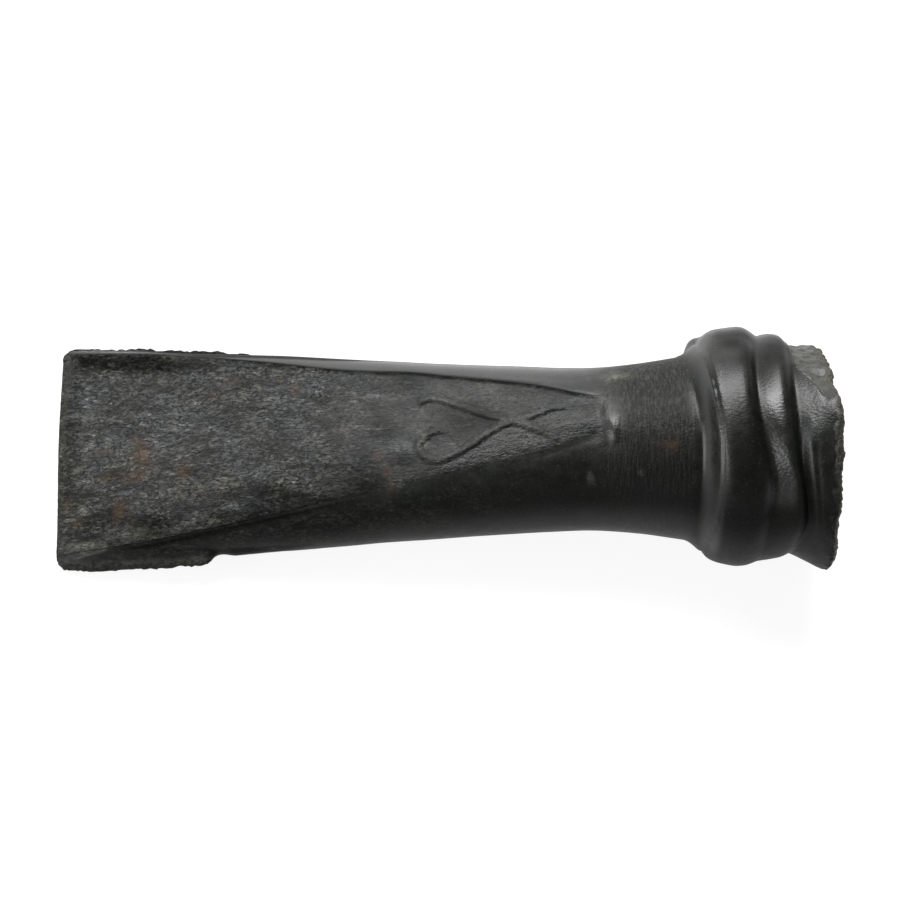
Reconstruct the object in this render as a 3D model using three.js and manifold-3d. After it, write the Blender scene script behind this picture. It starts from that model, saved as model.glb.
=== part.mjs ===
// A bronze currency axe head, as it came from the mould, with its clay casting core left in the socket.
//
// The head is one casting: a flat wedge blade whose two broad facets die out on a round neck, a collar of a
// large ring and a small one, and a flared socket lip that was never trimmed. Thin flash stands along the
// mould's parting line and two crossed ribs decorate the front facet.
//
// Lengths are millimetres. The casting is drawn with its axis on X from the cutting edge, its width on Y and
// its thickness on Z, and is then laid down on its back face, resting on the cutting edge and the large ring.

import * as THREE from 'three';
import { mergeVertices } from 'three/addons/utils/BufferGeometryUtils.js';
import Module from 'manifold-3d';

const wasm = await Module();
wasm.setup();

// Lengths along the axis

const bodyLength = 96.2; // from the cutting edge to the foot of the collar
const filletLength = 2.7; // the neck sweeping up to the crease of the large ring
const ringLength = 8.5;
const bandLength = 4;
const lipLength = 6.3;
const roundNeckLength = 12.9; // between the facets' end and the foot of the collar
const facetRunOut = 0.8; // the short ramp that ends a facet

// Widths and radii

const bladeHalfWidth = 17.3;
const waistRadius = 12.7;
const neckRadius = 14.1;
const ringRadius = 18.1;
const creaseDepth = 2.1; // this and the next three lie below the large ring
const notchDepth = 1.2;
const bandDepth = 0.95;
const shoulderDepth = 2;
const lipFlareHeight = 2.3; // from the shoulder out to the rim

// Thicknesses

const edgeThickness = 1.6; // the cutting edge was left blunt
const edgeRounding = 1.1;
const facetStep = 0.45; // how far a facet lies below the crown where it ends
const dishDepth = 0.35;
const dishLength = 46;
const borderWidth = 1.5; // the raised border left along each side of a dish

// Socket and clay core

const wall = 2.7;
const lipWall = 2.4;
const socketDepth = 66; // from the mouth to the floor
const floorRounding = 1.6;
const coreLength = 19; // of the clay that is left above the socket's floor
const coreClearance = 0.3;
const coreBreak = 2.6; // the height of the clay's broken top

// Casting flash, side loop stub and ribs

const flashThickness = 1.2;
const flashStart = 1.8; // from the cutting edge
const flashLength = 38;
const upperFlashHeight = 0.7;
const lowerFlashHeight = 2;
const stubLength = 5.2;
const stubHeight = 2.6; // above the neck
const stubThickness = 3.6;
const ribsEndGap = 4.7; // from the end of the ribs to the end of the facet
const ribsLength = 23.6;
const ribsHalfHeight = 5.2;
const ribsDrop = 0.9; // the crossed ribs sit a little below the axis
const ribRadius = 0.45;

const overrun = 2; // every cutter passes this far beyond what it cuts

// How finely the round forms are drawn

const bodySegments = 64;
const socketSegments = 40;
const bodyStations = 20;
const ribStations = 30;
const ribSides = 6;
const dishStations = 8;
const stubSides = 12;

// Shapes as shares of the sizes above. Each row is a place along the form and the value there.

const widthShares = [
  [0, 0.98], [0.03, 1], [0.127, 0.96], [0.243, 0.83], [0.386, 0.68],
  [0.565, 0.33], [0.71, 0.11], [0.79, 0], [1, 0],
];
const flareShares = [[0, 0], [0.79, 0], [0.868, 0.02], [0.925, 0.29], [1, 1]];
const flatnessShares = [
  [0, 0.26], [0.03, 0.28], [0.14, 0.42], [0.25, 0.485], [0.345, 0.525], [0.44, 0.585],
  [0.5, 0.655], [0.565, 0.745], [0.625, 0.79], [0.7, 0.853], [0.77, 0.908], [0.82, 0.93],
  [0.86, 0.955], [0.925, 1], [1, 1],
];
const filletShares = [[0, 0], [0.35, 0.1], [0.65, 0.4], [0.85, 0.72], [1, 1]];
const ringRiseShares = [[0, 0], [0.2, 0.46], [0.42, 0.8], [0.65, 1]];
const ringFallShares = [[0.65, 1], [0.83, 0.78], [1, 0]];
const bandShares = [[0, 0], [0.2, 0.8], [0.45, 1], [0.7, 0.7]];
const lipFlareShares = [[0, 0], [0.25, 0.28], [0.5, 0.6], [0.8, 0.95], [1, 1]];
const socketWidthShares = [[0, 0.62], [0.1, 0.7], [0.3, 0.8], [0.6, 0.92], [1, 1]];
const socketHeightShares = [[0, 0.84], [0.3, 0.95], [0.6, 1], [1, 1]];
const socketStationShares = [0.2, 0.35, 0.5, 0.7, 0.85];
const coreStationShares = [0.35, 0.65, 1];

// What is left of the lip round the mouth, from the +Y side towards the front face.
const lipKeptShares = [
  [0, 0.62], [0.025, 0.18], [0.07, 0.03], [0.187, 0.04], [0.208, 0.17], [0.228, 0.3], [0.242, 0.48],
  [0.256, 0.86], [0.29, 0.98], [0.34, 0.95], [0.4, 1], [0.46, 0.93], [0.52, 0.99], [0.6, 0.94],
  [0.68, 0.99], [0.76, 0.92], [0.84, 0.98], [0.91, 0.93], [0.965, 0.97], [1, 0.62],
];

const upperFlashShares = [
  [0, 0], [0.03, 0.7], [0.1, 1], [0.19, 0.75], [0.27, 1], [0.355, 0.9], [0.38, 0.2], [0.44, 0.6],
  [0.52, 0.25], [0.6, 0.55], [0.7, 0.2], [0.8, 0.4], [0.9, 0.12], [1, 0],
];
const lowerFlashShares = [
  [0, 0], [0.04, 0.7], [0.11, 0.95], [0.2, 1], [0.3, 0.92], [0.4, 1], [0.5, 0.93], [0.585, 0.98],
  [0.605, 0.4], [0.7, 0.3], [0.8, 0.2], [1, 0],
];

// The two crossed ribs, along and across the facet. Each starts in a hook towards the blade.
const upperRibShares = [
  [0, 0.83], [0.04, 0.94], [0.09, 0.99], [0.165, 0.9], [0.29, 0.63], [0.45, 0.3], [0.565, 0.12],
  [0.63, 0.06], [0.71, -0.12], [0.79, -0.31], [0.876, -0.49],
];
const lowerRibShares = [
  [0.19, -0.07], [0.12, -0.08], [0.05, -0.28], [0.01, -0.49], [0.02, -0.68], [0.065, -0.9], [0.12, -1],
  [0.236, -0.85], [0.38, -0.47], [0.52, -0.06], [0.62, 0.1], [0.74, 0.25], [0.81, 0.385],
  [0.894, 0.48], [0.97, 0.46], [1, 0.36],
];

// The broken top of the clay, round the core: high where the share is 1.
const coreBreakShares = [
  [0, 0.3], [0.12, 0.9], [0.22, 0.55], [0.35, 1], [0.47, 0.4], [0.6, 0.1], [0.74, 0.5], [0.86, 0.05],
  [1, 0.3],
];
const crumbleShare = 0.55; // how far out from the middle the inner edge of the break lies
const crumbleTurnShare = 0.35; // that edge repeats the break, turned by this much

// Places and radii that follow

const facetLength = bodyLength - roundNeckLength;
const collarStart = bodyLength + filletLength;
const bandStart = collarStart + ringLength;
const lipStart = bandStart + bandLength;
const headLength = lipStart + lipLength;
const socketFloor = headLength - socketDepth;
const ribsStart = facetLength - ribsEndGap - ribsLength;
const creaseRadius = ringRadius - creaseDepth;
const notchRadius = ringRadius - notchDepth;
const bandRadius = ringRadius - bandDepth;
const shoulderRadius = ringRadius - shoulderDepth;
const lipRadius = shoulderRadius + lipFlareHeight;

// Reading a table of shares

function curveThrough(rows, Interpolant) {
  const places = rows.map(([place]) => place);
  const values = rows.map(([, value]) => value);
  const curve = new Interpolant(places, values, 1);
  return (place) => curve.evaluate(place)[0];
}

const smooth = (rows) => curveThrough(rows, THREE.CubicInterpolant);
const straight = (rows) => curveThrough(rows, THREE.LinearInterpolant);

const width = smooth(widthShares);
const flare = smooth(flareShares);
const flatness = smooth(flatnessShares);
const lipFlare = smooth(lipFlareShares);
const lipKept = straight(lipKeptShares);
const socketWidth = smooth(socketWidthShares);
const socketHeight = smooth(socketHeightShares);
const coreBroken = straight(coreBreakShares);

// The body's section at a distance from the cutting edge is an ellipse, cut flat by the two facets

function halfWidth(x) {
  const place = x / bodyLength;
  const widening = (bladeHalfWidth - waistRadius) * width(place);
  const flaring = (neckRadius - waistRadius) * flare(place);
  return waistRadius + widening + flaring;
}

function crown(x) {
  return halfWidth(x) * flatness(x / bodyLength);
}

const facetRise = (crown(facetLength) - facetStep - edgeThickness / 2) / facetLength;

function facetHeight(x) {
  return edgeThickness / 2 + facetRise * x;
}

function facetHalfWidth(x) {
  const cut = facetHeight(x) / crown(x);
  return halfWidth(x) * Math.sqrt(Math.max(0, 1 - cut * cut));
}

// Solids

function toSolid(geometry) {
  const bare = geometry.clone();
  bare.deleteAttribute('normal');
  bare.deleteAttribute('uv');
  const merged = mergeVertices(bare);
  return new wasm.Manifold(new wasm.Mesh({
    numProp: 3,
    vertProperties: new Float32Array(merged.attributes.position.array),
    triVerts: new Uint32Array(merged.index.array),
  }));
}

function toGeometry(solid) {
  const { vertProperties, triVerts } = solid.getMesh();
  const geometry = new THREE.BufferGeometry();
  geometry.setAttribute('position', new THREE.BufferAttribute(vertProperties, 3));
  geometry.setIndex(new THREE.BufferAttribute(triVerts, 1));
  geometry.computeVertexNormals();
  return geometry;
}

// A lathe blank pressed flat. Each row gives x, the half width on Y and the half height on Z. The blank is
// turned about X, and move may shift a vertex of a numbered row by its place round the turn.
function pressedLathe(rows, segments, move = () => null) {
  const unit = rows.map((row, index) => new THREE.Vector2(row.y > 0 ? 1 : 0, index));
  const geometry = new THREE.LatheGeometry(unit, segments);
  const position = geometry.attributes.position;
  for (let i = 0; i < position.count; i += 1) {
    const index = Math.round(position.getY(i));
    const angle = Math.atan2(position.getX(i), position.getZ(i));
    const turn = THREE.MathUtils.euclideanModulo(angle / (2 * Math.PI), 1);
    const row = move(index, turn) ?? rows[index];
    const onAxis = rows[index].y > 0 ? 1 : 0;
    position.setXYZ(i, row.x, onAxis * row.y * Math.cos(angle), onAxis * row.z * Math.sin(angle));
  }
  return toSolid(geometry);
}

function rowsThrough(shares, start, length, from, to) {
  return shares.map(([place, share]) => {
    const radius = from + (to - from) * share;
    return { x: start + length * place, y: radius, z: radius };
  });
}

// The casting before its facets are cut

function bodyRows() {
  const first = halfWidth(edgeRounding);
  const rows = [{ x: 0, y: first - edgeRounding, z: edgeThickness / 4 }];
  for (let i = 0; i <= bodyStations; i += 1) {
    const x = THREE.MathUtils.lerp(edgeRounding, bodyLength, i / bodyStations);
    rows.push({ x, y: halfWidth(x), z: crown(x) });
  }
  return rows;
}

function collarRows() {
  return [
    ...rowsThrough(filletShares.slice(1), bodyLength, filletLength, neckRadius, creaseRadius),
    ...rowsThrough(ringRiseShares.slice(1), collarStart, ringLength, creaseRadius, ringRadius),
    ...rowsThrough(ringFallShares.slice(1), collarStart, ringLength, notchRadius, ringRadius),
    ...rowsThrough(bandShares.slice(1), bandStart, bandLength, notchRadius, bandRadius),
  ];
}

// The lip is a flared tube with a ragged rim, so its rows reach only as far as what is kept of it.
function lipRow(place, turn) {
  const reached = place * lipKept(turn);
  const radius = THREE.MathUtils.lerp(shoulderRadius, lipRadius, lipFlare(reached));
  return { x: lipStart + lipLength * reached, y: radius, z: radius };
}

function blank() {
  const axisStart = { x: 0, y: 0, z: 0 };
  const axisEnd = { x: lipStart, y: 0, z: 0 };
  const solidRows = [axisStart, ...bodyRows(), ...collarRows()];
  const lipRows = lipFlareShares.map(([place]) => lipRow(place, 0));
  const rows = [...solidRows, ...lipRows, axisEnd];
  return pressedLathe(rows, bodySegments, (index, turn) => {
    const lipIndex = index - solidRows.length;
    const onLip = lipIndex >= 0 && lipIndex < lipRows.length;
    return onLip ? lipRow(lipFlareShares[lipIndex][0], turn) : null;
  });
}

// Cutters of the broad faces, drawn for the front and turned over for the back

function facetCutter() {
  const runOutStart = facetLength - facetRunOut;
  const clear = crown(bodyLength) + overrun;
  const side = new THREE.Shape([
    new THREE.Vector2(-overrun, facetHeight(-overrun)),
    new THREE.Vector2(runOutStart, facetHeight(runOutStart)),
    new THREE.Vector2(facetLength, crown(facetLength) + overrun),
    new THREE.Vector2(facetLength, clear + overrun),
    new THREE.Vector2(-overrun, clear + overrun),
  ]);
  const reach = bladeHalfWidth + lowerFlashHeight + overrun;
  const geometry = new THREE.ExtrudeGeometry(side, { depth: 2 * reach, bevelEnabled: false });
  geometry.rotateX(Math.PI / 2);
  geometry.translate(0, reach, 0);
  return toSolid(geometry);
}

// A shallow dish inside the facet, open at the cutting edge. Its floor rises to the facet and fades out there.
function dishCutter() {
  const edge = [];
  for (let i = 0; i <= dishStations; i += 1) {
    const x = THREE.MathUtils.lerp(-overrun, dishLength, i / dishStations);
    edge.push(new THREE.Vector2(x, facetHalfWidth(x) - borderWidth));
  }
  const mirrored = edge.map(({ x, y }) => new THREE.Vector2(x, -y));
  const outline = new THREE.Shape([...mirrored, ...edge.reverse()]);
  const geometry = new THREE.ExtrudeGeometry(outline, { depth: overrun, bevelEnabled: false });
  const slope = facetRise + dishDepth / dishLength;
  const height = facetHeight(0) - dishDepth;
  geometry.applyMatrix4(new THREE.Matrix4().set(1, 0, 0, 0, 0, 1, 0, 0, slope, 0, 1, height, 0, 0, 0, 1));
  return toSolid(geometry);
}

// The socket, which the clay core fills in part

function socketRow(x, clearance) {
  if (x > bodyLength) {
    const inLip = x > lipStart;
    const start = inLip ? lipStart : bodyLength;
    const end = inLip ? headLength : lipStart;
    const from = inLip ? shoulderRadius - wall : neckRadius - wall;
    const to = inLip ? lipRadius - lipWall : shoulderRadius - wall;
    const radius = from + (to - from) * (x - start) / (end - start);
    return { x, y: radius - clearance, z: radius - clearance };
  }
  const place = (x - socketFloor) / (bodyLength - socketFloor);
  const height = x < facetLength ? Math.min(crown(x), facetHeight(x)) : crown(x);
  return {
    x,
    y: (halfWidth(x) - wall) * socketWidth(place) - clearance,
    z: (height - wall) * socketHeight(place) - clearance,
  };
}

function flooredRows(places, clearance) {
  const floor = socketFloor + clearance;
  const low = socketRow(floor + floorRounding, clearance);
  return [
    { x: floor, y: 0, z: 0 },
    { x: floor, y: low.y - floorRounding, z: low.z - floorRounding },
    low,
    ...places.map((x) => socketRow(x, clearance)),
  ];
}

function socketCutter() {
  const inBody = socketStationShares.map((share) => THREE.MathUtils.lerp(socketFloor, bodyLength, share));
  const rows = flooredRows([...inBody, bodyLength, lipStart, headLength + overrun], 0);
  return pressedLathe([...rows, { x: headLength + overrun, y: 0, z: 0 }], socketSegments);
}

function clayCore() {
  const top = socketFloor + coreLength;
  const places = coreStationShares.map((share) => THREE.MathUtils.lerp(socketFloor, top, share));
  const sides = flooredRows(places, coreClearance);
  const rim = sides.at(-1);
  const crumbled = { x: top, y: rim.y * crumbleShare, z: rim.z * crumbleShare };
  const rows = [...sides, crumbled, { x: top - coreBreak / 2, y: 0, z: 0 }];
  const last = sides.length - 1;
  return pressedLathe(rows, socketSegments, (index, turn) => {
    if (index < last || index > last + 1) return null;
    const shifted = index === last ? turn : THREE.MathUtils.euclideanModulo(turn + crumbleTurnShare, 1);
    return { ...rows[index], x: top - coreBreak * (1 - coreBroken(shifted)) };
  });
}

// Added forms

function flash(shares, height, side) {
  const outer = shares.map(([place, share]) => {
    const x = flashStart + flashLength * place;
    return new THREE.Vector2(x, side * (halfWidth(x) + height * share));
  });
  const inner = shares.map(([place]) => {
    const x = flashStart + flashLength * place;
    return new THREE.Vector2(x, side * (halfWidth(x) - flashThickness));
  });
  const geometry = new THREE.ExtrudeGeometry(new THREE.Shape([...outer, ...inner.reverse()]), {
    depth: flashThickness,
    bevelEnabled: false,
  });
  geometry.translate(0, 0, -flashThickness / 2);
  return toSolid(geometry);
}

// The root of a side loop that never filled, a low lump between the neck and the large ring
function loopStub() {
  const geometry = new THREE.SphereGeometry(1, stubSides, stubSides);
  geometry.scale(stubLength / 2, stubHeight, stubThickness / 2);
  geometry.translate(bodyLength + filletLength / 2, neckRadius, stubThickness / 2);
  return toSolid(geometry);
}

function rib(shares) {
  const path = new THREE.CatmullRomCurve3(shares.map(([along, across]) => {
    const x = ribsStart + ribsLength * along;
    return new THREE.Vector3(x, ribsHalfHeight * across - ribsDrop, facetHeight(x));
  }));
  const section = new THREE.Shape();
  section.absarc(0, 0, ribRadius, 0, 2 * Math.PI);
  const geometry = new THREE.ExtrudeGeometry(section, {
    steps: ribStations,
    extrudePath: path,
    curveSegments: ribSides / 2,
    bevelEnabled: false,
  });
  return toSolid(geometry);
}

// Each physical piece

function axeCasting() {
  const front = facetCutter();
  const dish = dishCutter();
  const turnedOver = [180, 0, 0];
  return blank()
    .subtract(front)
    .subtract(front.rotate(turnedOver))
    .subtract(dish)
    .subtract(dish.rotate(turnedOver))
    .add(flash(upperFlashShares, upperFlashHeight, 1))
    .add(flash(lowerFlashShares, lowerFlashHeight, -1))
    .add(loopStub())
    .add(rib(upperRibShares))
    .add(rib(lowerRibShares))
    .subtract(socketCutter());
}

const darkBronze = new THREE.MeshStandardMaterial({ color: 0x2b2f2c, roughness: 0.42, metalness: 0.75 });
const firedClay = new THREE.MeshStandardMaterial({ color: 0x6e5a45, roughness: 0.95, metalness: 0 });

function piece(name, solid, material) {
  const mesh = new THREE.Mesh(toGeometry(solid), material);
  mesh.name = name;
  return mesh;
}

const head = new THREE.Group();
head.add(piece('axe_casting', axeCasting(), darkBronze));
head.add(piece('clay_core', clayCore(), firedClay));

// Laid on its back, the head touches the ground at the cutting edge and at the large ring. The steepest line
// from the edge to a row of the collar gives the slope, and the box round the head then gives the origin.

const edgeBottom = facetHeight(edgeRounding);
const slopes = collarRows().map((row) => (row.z - edgeBottom) / (row.x - edgeRounding));
head.rotation.y = -Math.atan(Math.max(...slopes));

const axeHead = new THREE.Group();
axeHead.add(head);
axeHead.updateMatrixWorld(true);
const box = new THREE.Box3().setFromObject(axeHead, true);
head.position.set(-(box.min.x + box.max.x) / 2, -(box.min.y + box.max.y) / 2, -box.min.z);

export default axeHead;
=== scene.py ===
# %% [markdown]
# # A currency axe head in dark bronze
#
# The object is a socketed bronze axe head that was cast in one pour and never trimmed. Heads in this state
# passed from hand to hand as metal stock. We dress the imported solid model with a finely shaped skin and
# with procedural materials, and light it as a museum photographer would: on white, with soft light from
# above.
#
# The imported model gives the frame. Everything below is made in that frame, in metres.

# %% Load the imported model
import math

import bmesh
import bpy
import numpy as np
from mathutils import Matrix, Vector, noise


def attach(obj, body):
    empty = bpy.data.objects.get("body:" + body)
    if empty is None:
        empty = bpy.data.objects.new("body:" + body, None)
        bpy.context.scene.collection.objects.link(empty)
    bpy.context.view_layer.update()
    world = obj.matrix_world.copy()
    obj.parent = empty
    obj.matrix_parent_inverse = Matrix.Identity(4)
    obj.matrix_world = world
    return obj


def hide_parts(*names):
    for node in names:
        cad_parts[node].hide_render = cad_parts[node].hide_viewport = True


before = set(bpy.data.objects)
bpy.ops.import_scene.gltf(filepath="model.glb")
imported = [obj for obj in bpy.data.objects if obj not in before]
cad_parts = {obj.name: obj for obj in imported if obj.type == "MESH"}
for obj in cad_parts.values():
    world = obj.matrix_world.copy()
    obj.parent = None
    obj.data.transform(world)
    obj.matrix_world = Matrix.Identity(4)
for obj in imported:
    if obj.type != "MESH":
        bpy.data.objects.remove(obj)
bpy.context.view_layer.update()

# %% [markdown]
# ## The casting's own axes
#
# A founder would measure the head along its axis, not as it happens to lie on a table. So all of its sizes
# are given in casting axes, in millimetres: x runs from the cutting edge to the socket's mouth, y across
# the width and z through the thickness. The names of sizes below are those that the solid model was drawn
# with.

# %% Sizes of the head, in millimetres
body_length = 96.2          # from the cutting edge to the foot of the collar
collar_start = 98.9
band_start = 107.4          # the small ring of the collar
lip_start = 111.4
head_length = 117.7
facet_length = 83.3
blade_half_width = 17.3
waist_radius = 12.7
neck_radius = 14.1
ring_radius = 18.1          # the large ring of the collar
shoulder_radius = 16.1      # where the lip springs from the collar
lip_radius = 18.4
edge_thickness = 1.6
edge_rounding = 1.1
facet_step = 0.45           # how far a facet lies below the crown where it ends
wall = 2.7                  # of the socket
lip_wall = 2.4
print("head is", head_length, "mm long and", 2 * lip_radius, "mm across its lip")

# %% [markdown]
# ## Curves from short tables
#
# The outline of a cast head is one flowing line, and no row of arcs and straight lines gives it. A curve
# object could hold it, but we need its value at hundreds of places. So we note the line at a few places, as
# a pattern maker would with a ruler, and read a smooth curve through them.

# %% Helpers for smooth lines
def curve_through(rows):
    """A smooth curve through rows of (place, value), which holds its end values outside the table."""
    places, values = np.array(rows, float).T
    slopes = np.gradient(values, places)

    def read(place):
        place = np.clip(place, places[0], places[-1])
        at = np.clip(np.searchsorted(places, place) - 1, 0, len(places) - 2)
        gap = places[at + 1] - places[at]
        t = (place - places[at]) / gap
        start = (1 + 2 * t) * (1 - t) ** 2 * values[at] + t * (1 - t) ** 2 * gap * slopes[at]
        end = t * t * (3 - 2 * t) * values[at + 1] + t * t * (t - 1) * gap * slopes[at + 1]
        return start + end

    return read


def fade(value, start, end):
    """0 before start, 1 after end, and smooth between them."""
    t = np.clip((value - start) / (end - start), 0, 1)
    return t * t * (3 - 2 * t)


def window(value, start, end, soft):
    """1 between start and end and 0 outside them, with a fade of the width soft inside both ends."""
    return fade(value, start, start + soft) * (1 - fade(value, end - soft, end))


print("a fade from 0 to 4 is", float(fade(1.0, 0, 4)), "at 1 and", float(fade(3.0, 0, 4)), "at 3")

# %% Outline of blade and neck, as shares of the body's length and of the sizes above
width_share = curve_through([
    (0, 0.98), (0.03, 1), (0.127, 0.96), (0.243, 0.83), (0.386, 0.68),
    (0.565, 0.33), (0.71, 0.11), (0.79, 0), (1, 0),
])
flare_share = curve_through([(0, 0), (0.79, 0), (0.868, 0.02), (0.925, 0.29), (1, 1)])
flatness = curve_through([
    (0, 0.26), (0.03, 0.28), (0.14, 0.42), (0.25, 0.485), (0.345, 0.525), (0.44, 0.585),
    (0.5, 0.655), (0.565, 0.745), (0.625, 0.79), (0.7, 0.853), (0.77, 0.908), (0.82, 0.93),
    (0.86, 0.955), (0.925, 1), (1, 1),
])


def half_width(x):
    widening = (blade_half_width - waist_radius) * width_share(x / body_length)
    return waist_radius + widening + (neck_radius - waist_radius) * flare_share(x / body_length)


def crown(x):
    """Half the thickness before the facets are cut."""
    return half_width(x) * flatness(x / body_length)


print("half width", round(float(half_width(10.0)), 2), "mm on the blade")
print("half width", round(float(half_width(80.0)), 2), "mm at the waist")

# %% Slope of the facets
facet_rise = (crown(facet_length) - facet_step - edge_thickness / 2) / facet_length


def facet_height(x):
    """Height of a facet's plane over the middle of the casting."""
    return edge_thickness / 2 + facet_rise * x


print("facets rise", round(float(facet_rise), 4), "mm per mm")

# %% [markdown]
# ## Where the head lies
#
# The solid model lies on its back, tilted, because its collar is thicker than its blade. Its tilt follows
# from the sizes above. The place of its axis could be typed in, but it is safer to measure it: the large
# ring's widest points lie at equal distances on both sides of the axis.

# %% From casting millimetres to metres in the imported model's frame
widest_ring = collar_start + 0.65 * (band_start - collar_start)
tilt = math.atan((ring_radius - facet_height(edge_rounding)) / (widest_ring - edge_rounding))
lying = Matrix.Rotation(-tilt, 4, "Y")
solid = np.array([lying.inverted() @ v.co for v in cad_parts["axe_casting"].data.vertices]) * 1000
edge_x = solid[:, 0].min()
ring = solid[abs(solid[:, 0] - edge_x - widest_ring) < 2]
axis_y = (ring[:, 1].max() + ring[:, 1].min()) / 2
axis_z = (ring[:, 2].max() + ring[:, 2].min()) / 2
to_row = lying @ Matrix.Translation(Vector((edge_x, axis_y, axis_z)) / 1000) @ Matrix.Scale(0.001, 4)
print("tilt", round(math.degrees(tilt), 3), "degrees; ring radius", round((ring[:, 1].max() - axis_y), 2))
print("cutting edge at", [round(v, 4) for v in to_row @ Vector((0, 0, 0))])

# %% [markdown]
# ## The camera
#
# The picture looks at the front facet from somewhat below the head's middle, so the lower narrow side shows
# and the upper one is a thin bright strip. A 100 mm lens at about 38 cm gives the picture's mild
# perspective. The camera is rolled by a little over half a degree, since the head rises slightly to the
# right.

# %% Camera
camera_lowering = math.radians(25)
camera_distance = 0.382
camera_roll = math.radians(0.63)
aim = to_row @ Vector((60.0, 0.1, 0))
turn_to_row = to_row.to_3x3().normalized()
towards_camera = turn_to_row @ Vector((0, -math.sin(camera_lowering), math.cos(camera_lowering)))
picture_up = turn_to_row @ Vector((0, math.cos(camera_lowering), math.sin(camera_lowering)))
picture_right = turn_to_row @ Vector((1, 0, 0))
rolled_right = picture_right * math.cos(camera_roll) - picture_up * math.sin(camera_roll)
rolled_up = picture_up * math.cos(camera_roll) + picture_right * math.sin(camera_roll)
camera_data = bpy.data.cameras.new("camera")
camera_data.lens = 100
camera_data.sensor_width = 36
camera_data.clip_start = 0.01
camera = bpy.data.objects.new("camera", camera_data)
axes = Matrix((rolled_right, rolled_up, towards_camera)).transposed().to_4x4()
camera.matrix_world = Matrix.Translation(aim + towards_camera * camera_distance) @ axes
bpy.context.scene.collection.objects.link(camera)
bpy.context.scene.camera = camera
print("camera", [round(v, 3) for v in camera.location], "looks at", [round(v, 3) for v in aim])

# %% [markdown]
# ## One skin for the whole casting
#
# The casting has no joints, so its skin is one closed shell: up the outside from the cutting edge to the
# rim, over the rim and down the socket to its floor. Such a shell could be carved out of a block with
# booleans, but those leave thin triangles that shade badly once the surface is made uneven. Instead we take
# a flat grid and roll it up, as a smith rolls a sheet. Each row of the grid becomes one section through the
# head, and each column runs lengthwise. Rows stand close together where the surface has small forms, such
# as the ribs.
#
# On the blade the columns follow the facets' borders, so that these stay crisp. Towards the neck the
# columns spread out evenly. The front gets more of them than the back.

# %% Rows of the grid: places along the head
def spaced(start, end, count):
    return np.linspace(start, end, count, endpoint=False)


nose_length = 1.6           # the cutting edge is a blunt, rounded nose
nose_places = nose_length * (1 - np.cos(np.radians(spaced(7, 90, 12))))
blade_places = spaced(nose_length, 54, 110)
ribbed_places = spaced(54, 80, 98)
neck_places = np.concatenate([spaced(80, 87, 24), spaced(87, 95.4, 20)])
collar_places = np.concatenate([spaced(95.4, 100.4, 21), spaced(100.4, band_start, 24)])
band_places = spaced(band_start, lip_start, 17)
body_places = np.concatenate([
    nose_places, blade_places, ribbed_places, neck_places, collar_places, band_places])[:, None]
lip_rows = 20
rim_rows = 6
print(len(body_places), "rows up to the lip")

# %% Columns of the grid: turns round the head, from the +Y side over the front
side_columns = 18
front_columns = 116
back_columns = 52
columns = 4 * side_columns + front_columns + back_columns
front_total = 2 * side_columns + front_columns
even_turn = np.concatenate([
    spaced(0, math.pi, front_total), spaced(math.pi, 2 * math.pi, columns - front_total)])
even_degrees = np.degrees(even_turn)
narrowest_border = math.radians(62.5)


def border_turn(x):
    """The turn at which the facet's border lies, held back near the facet's end."""
    share = np.clip(facet_height(x) / crown(x), 0, 1)
    return np.minimum(np.arcsin(share), narrowest_border)


def half_turns(border, across):
    """Turns over one face, from the parting line to the facet's border, across the facet and down again."""
    up = border * (np.arange(side_columns) / side_columns) ** 1.25
    y = np.cos(border) * (1 - 2 * np.arange(across + 1) / across)
    over = np.arccos(np.clip(y, -1, 1))
    return np.concatenate([up, over, math.pi - up[:0:-1]])


def blade_turns(x):
    border = float(border_turn(x))
    front = half_turns(border, front_columns)
    back = half_turns(border, back_columns)
    return np.concatenate([front, math.pi + back])


evening_out = fade(body_places, 73, 92)
turn = np.array([blade_turns(x) for x in body_places[:, 0]]) * (1 - evening_out) + even_turn * evening_out
print(columns, "columns;", 2 * columns * (len(body_places) + lip_rows + rim_rows), "triangles outside")

# %% [markdown]
# ## Blade and facets
#
# Each section starts as an ellipse, and a facet cuts its top off, on the front and on the back. On the real
# head a facet is no true plane. It is dished inside a raised border along each side, with a wall a couple
# of millimetres wide near the cutting edge and a fine step further up, its middle swells a little, and on
# the neck it ends in a short curved ramp that catches the light. A boolean cut gives a plane and nothing
# else, so the facet is written as a height over the casting's middle, to which all of this can be added.

# %% Height of a facet, with its raised borders
dish_depth = curve_through([(0, 0.35), (4, 0.68), (12, 0.66), (22, 0.45), (35, 0.3), (50, 0.28), (84, 0.26)])
dish_wall = curve_through([(0, 3.0), (20, 2.6), (35, 1.0), (50, 0.65), (84, 0.6)])
crowning = 0.65     # the facet's middle stands this much higher than its borders
edge_droop = 0.22   # the facet drops this much towards the cutting edge
ramp_rise = 0.3


def facet_half_width(x):
    return half_width(x) * np.sqrt(np.clip(1 - (facet_height(x) / crown(x)) ** 2, 0, 1))


def from_border(x, y):
    """How far inside the facet's border a point lies."""
    step = 0.2
    lean = (facet_half_width(x + step) - facet_half_width(x - step)) / (2 * step)
    return (facet_half_width(x) - abs(y)) / np.sqrt(1 + lean ** 2)


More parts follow.
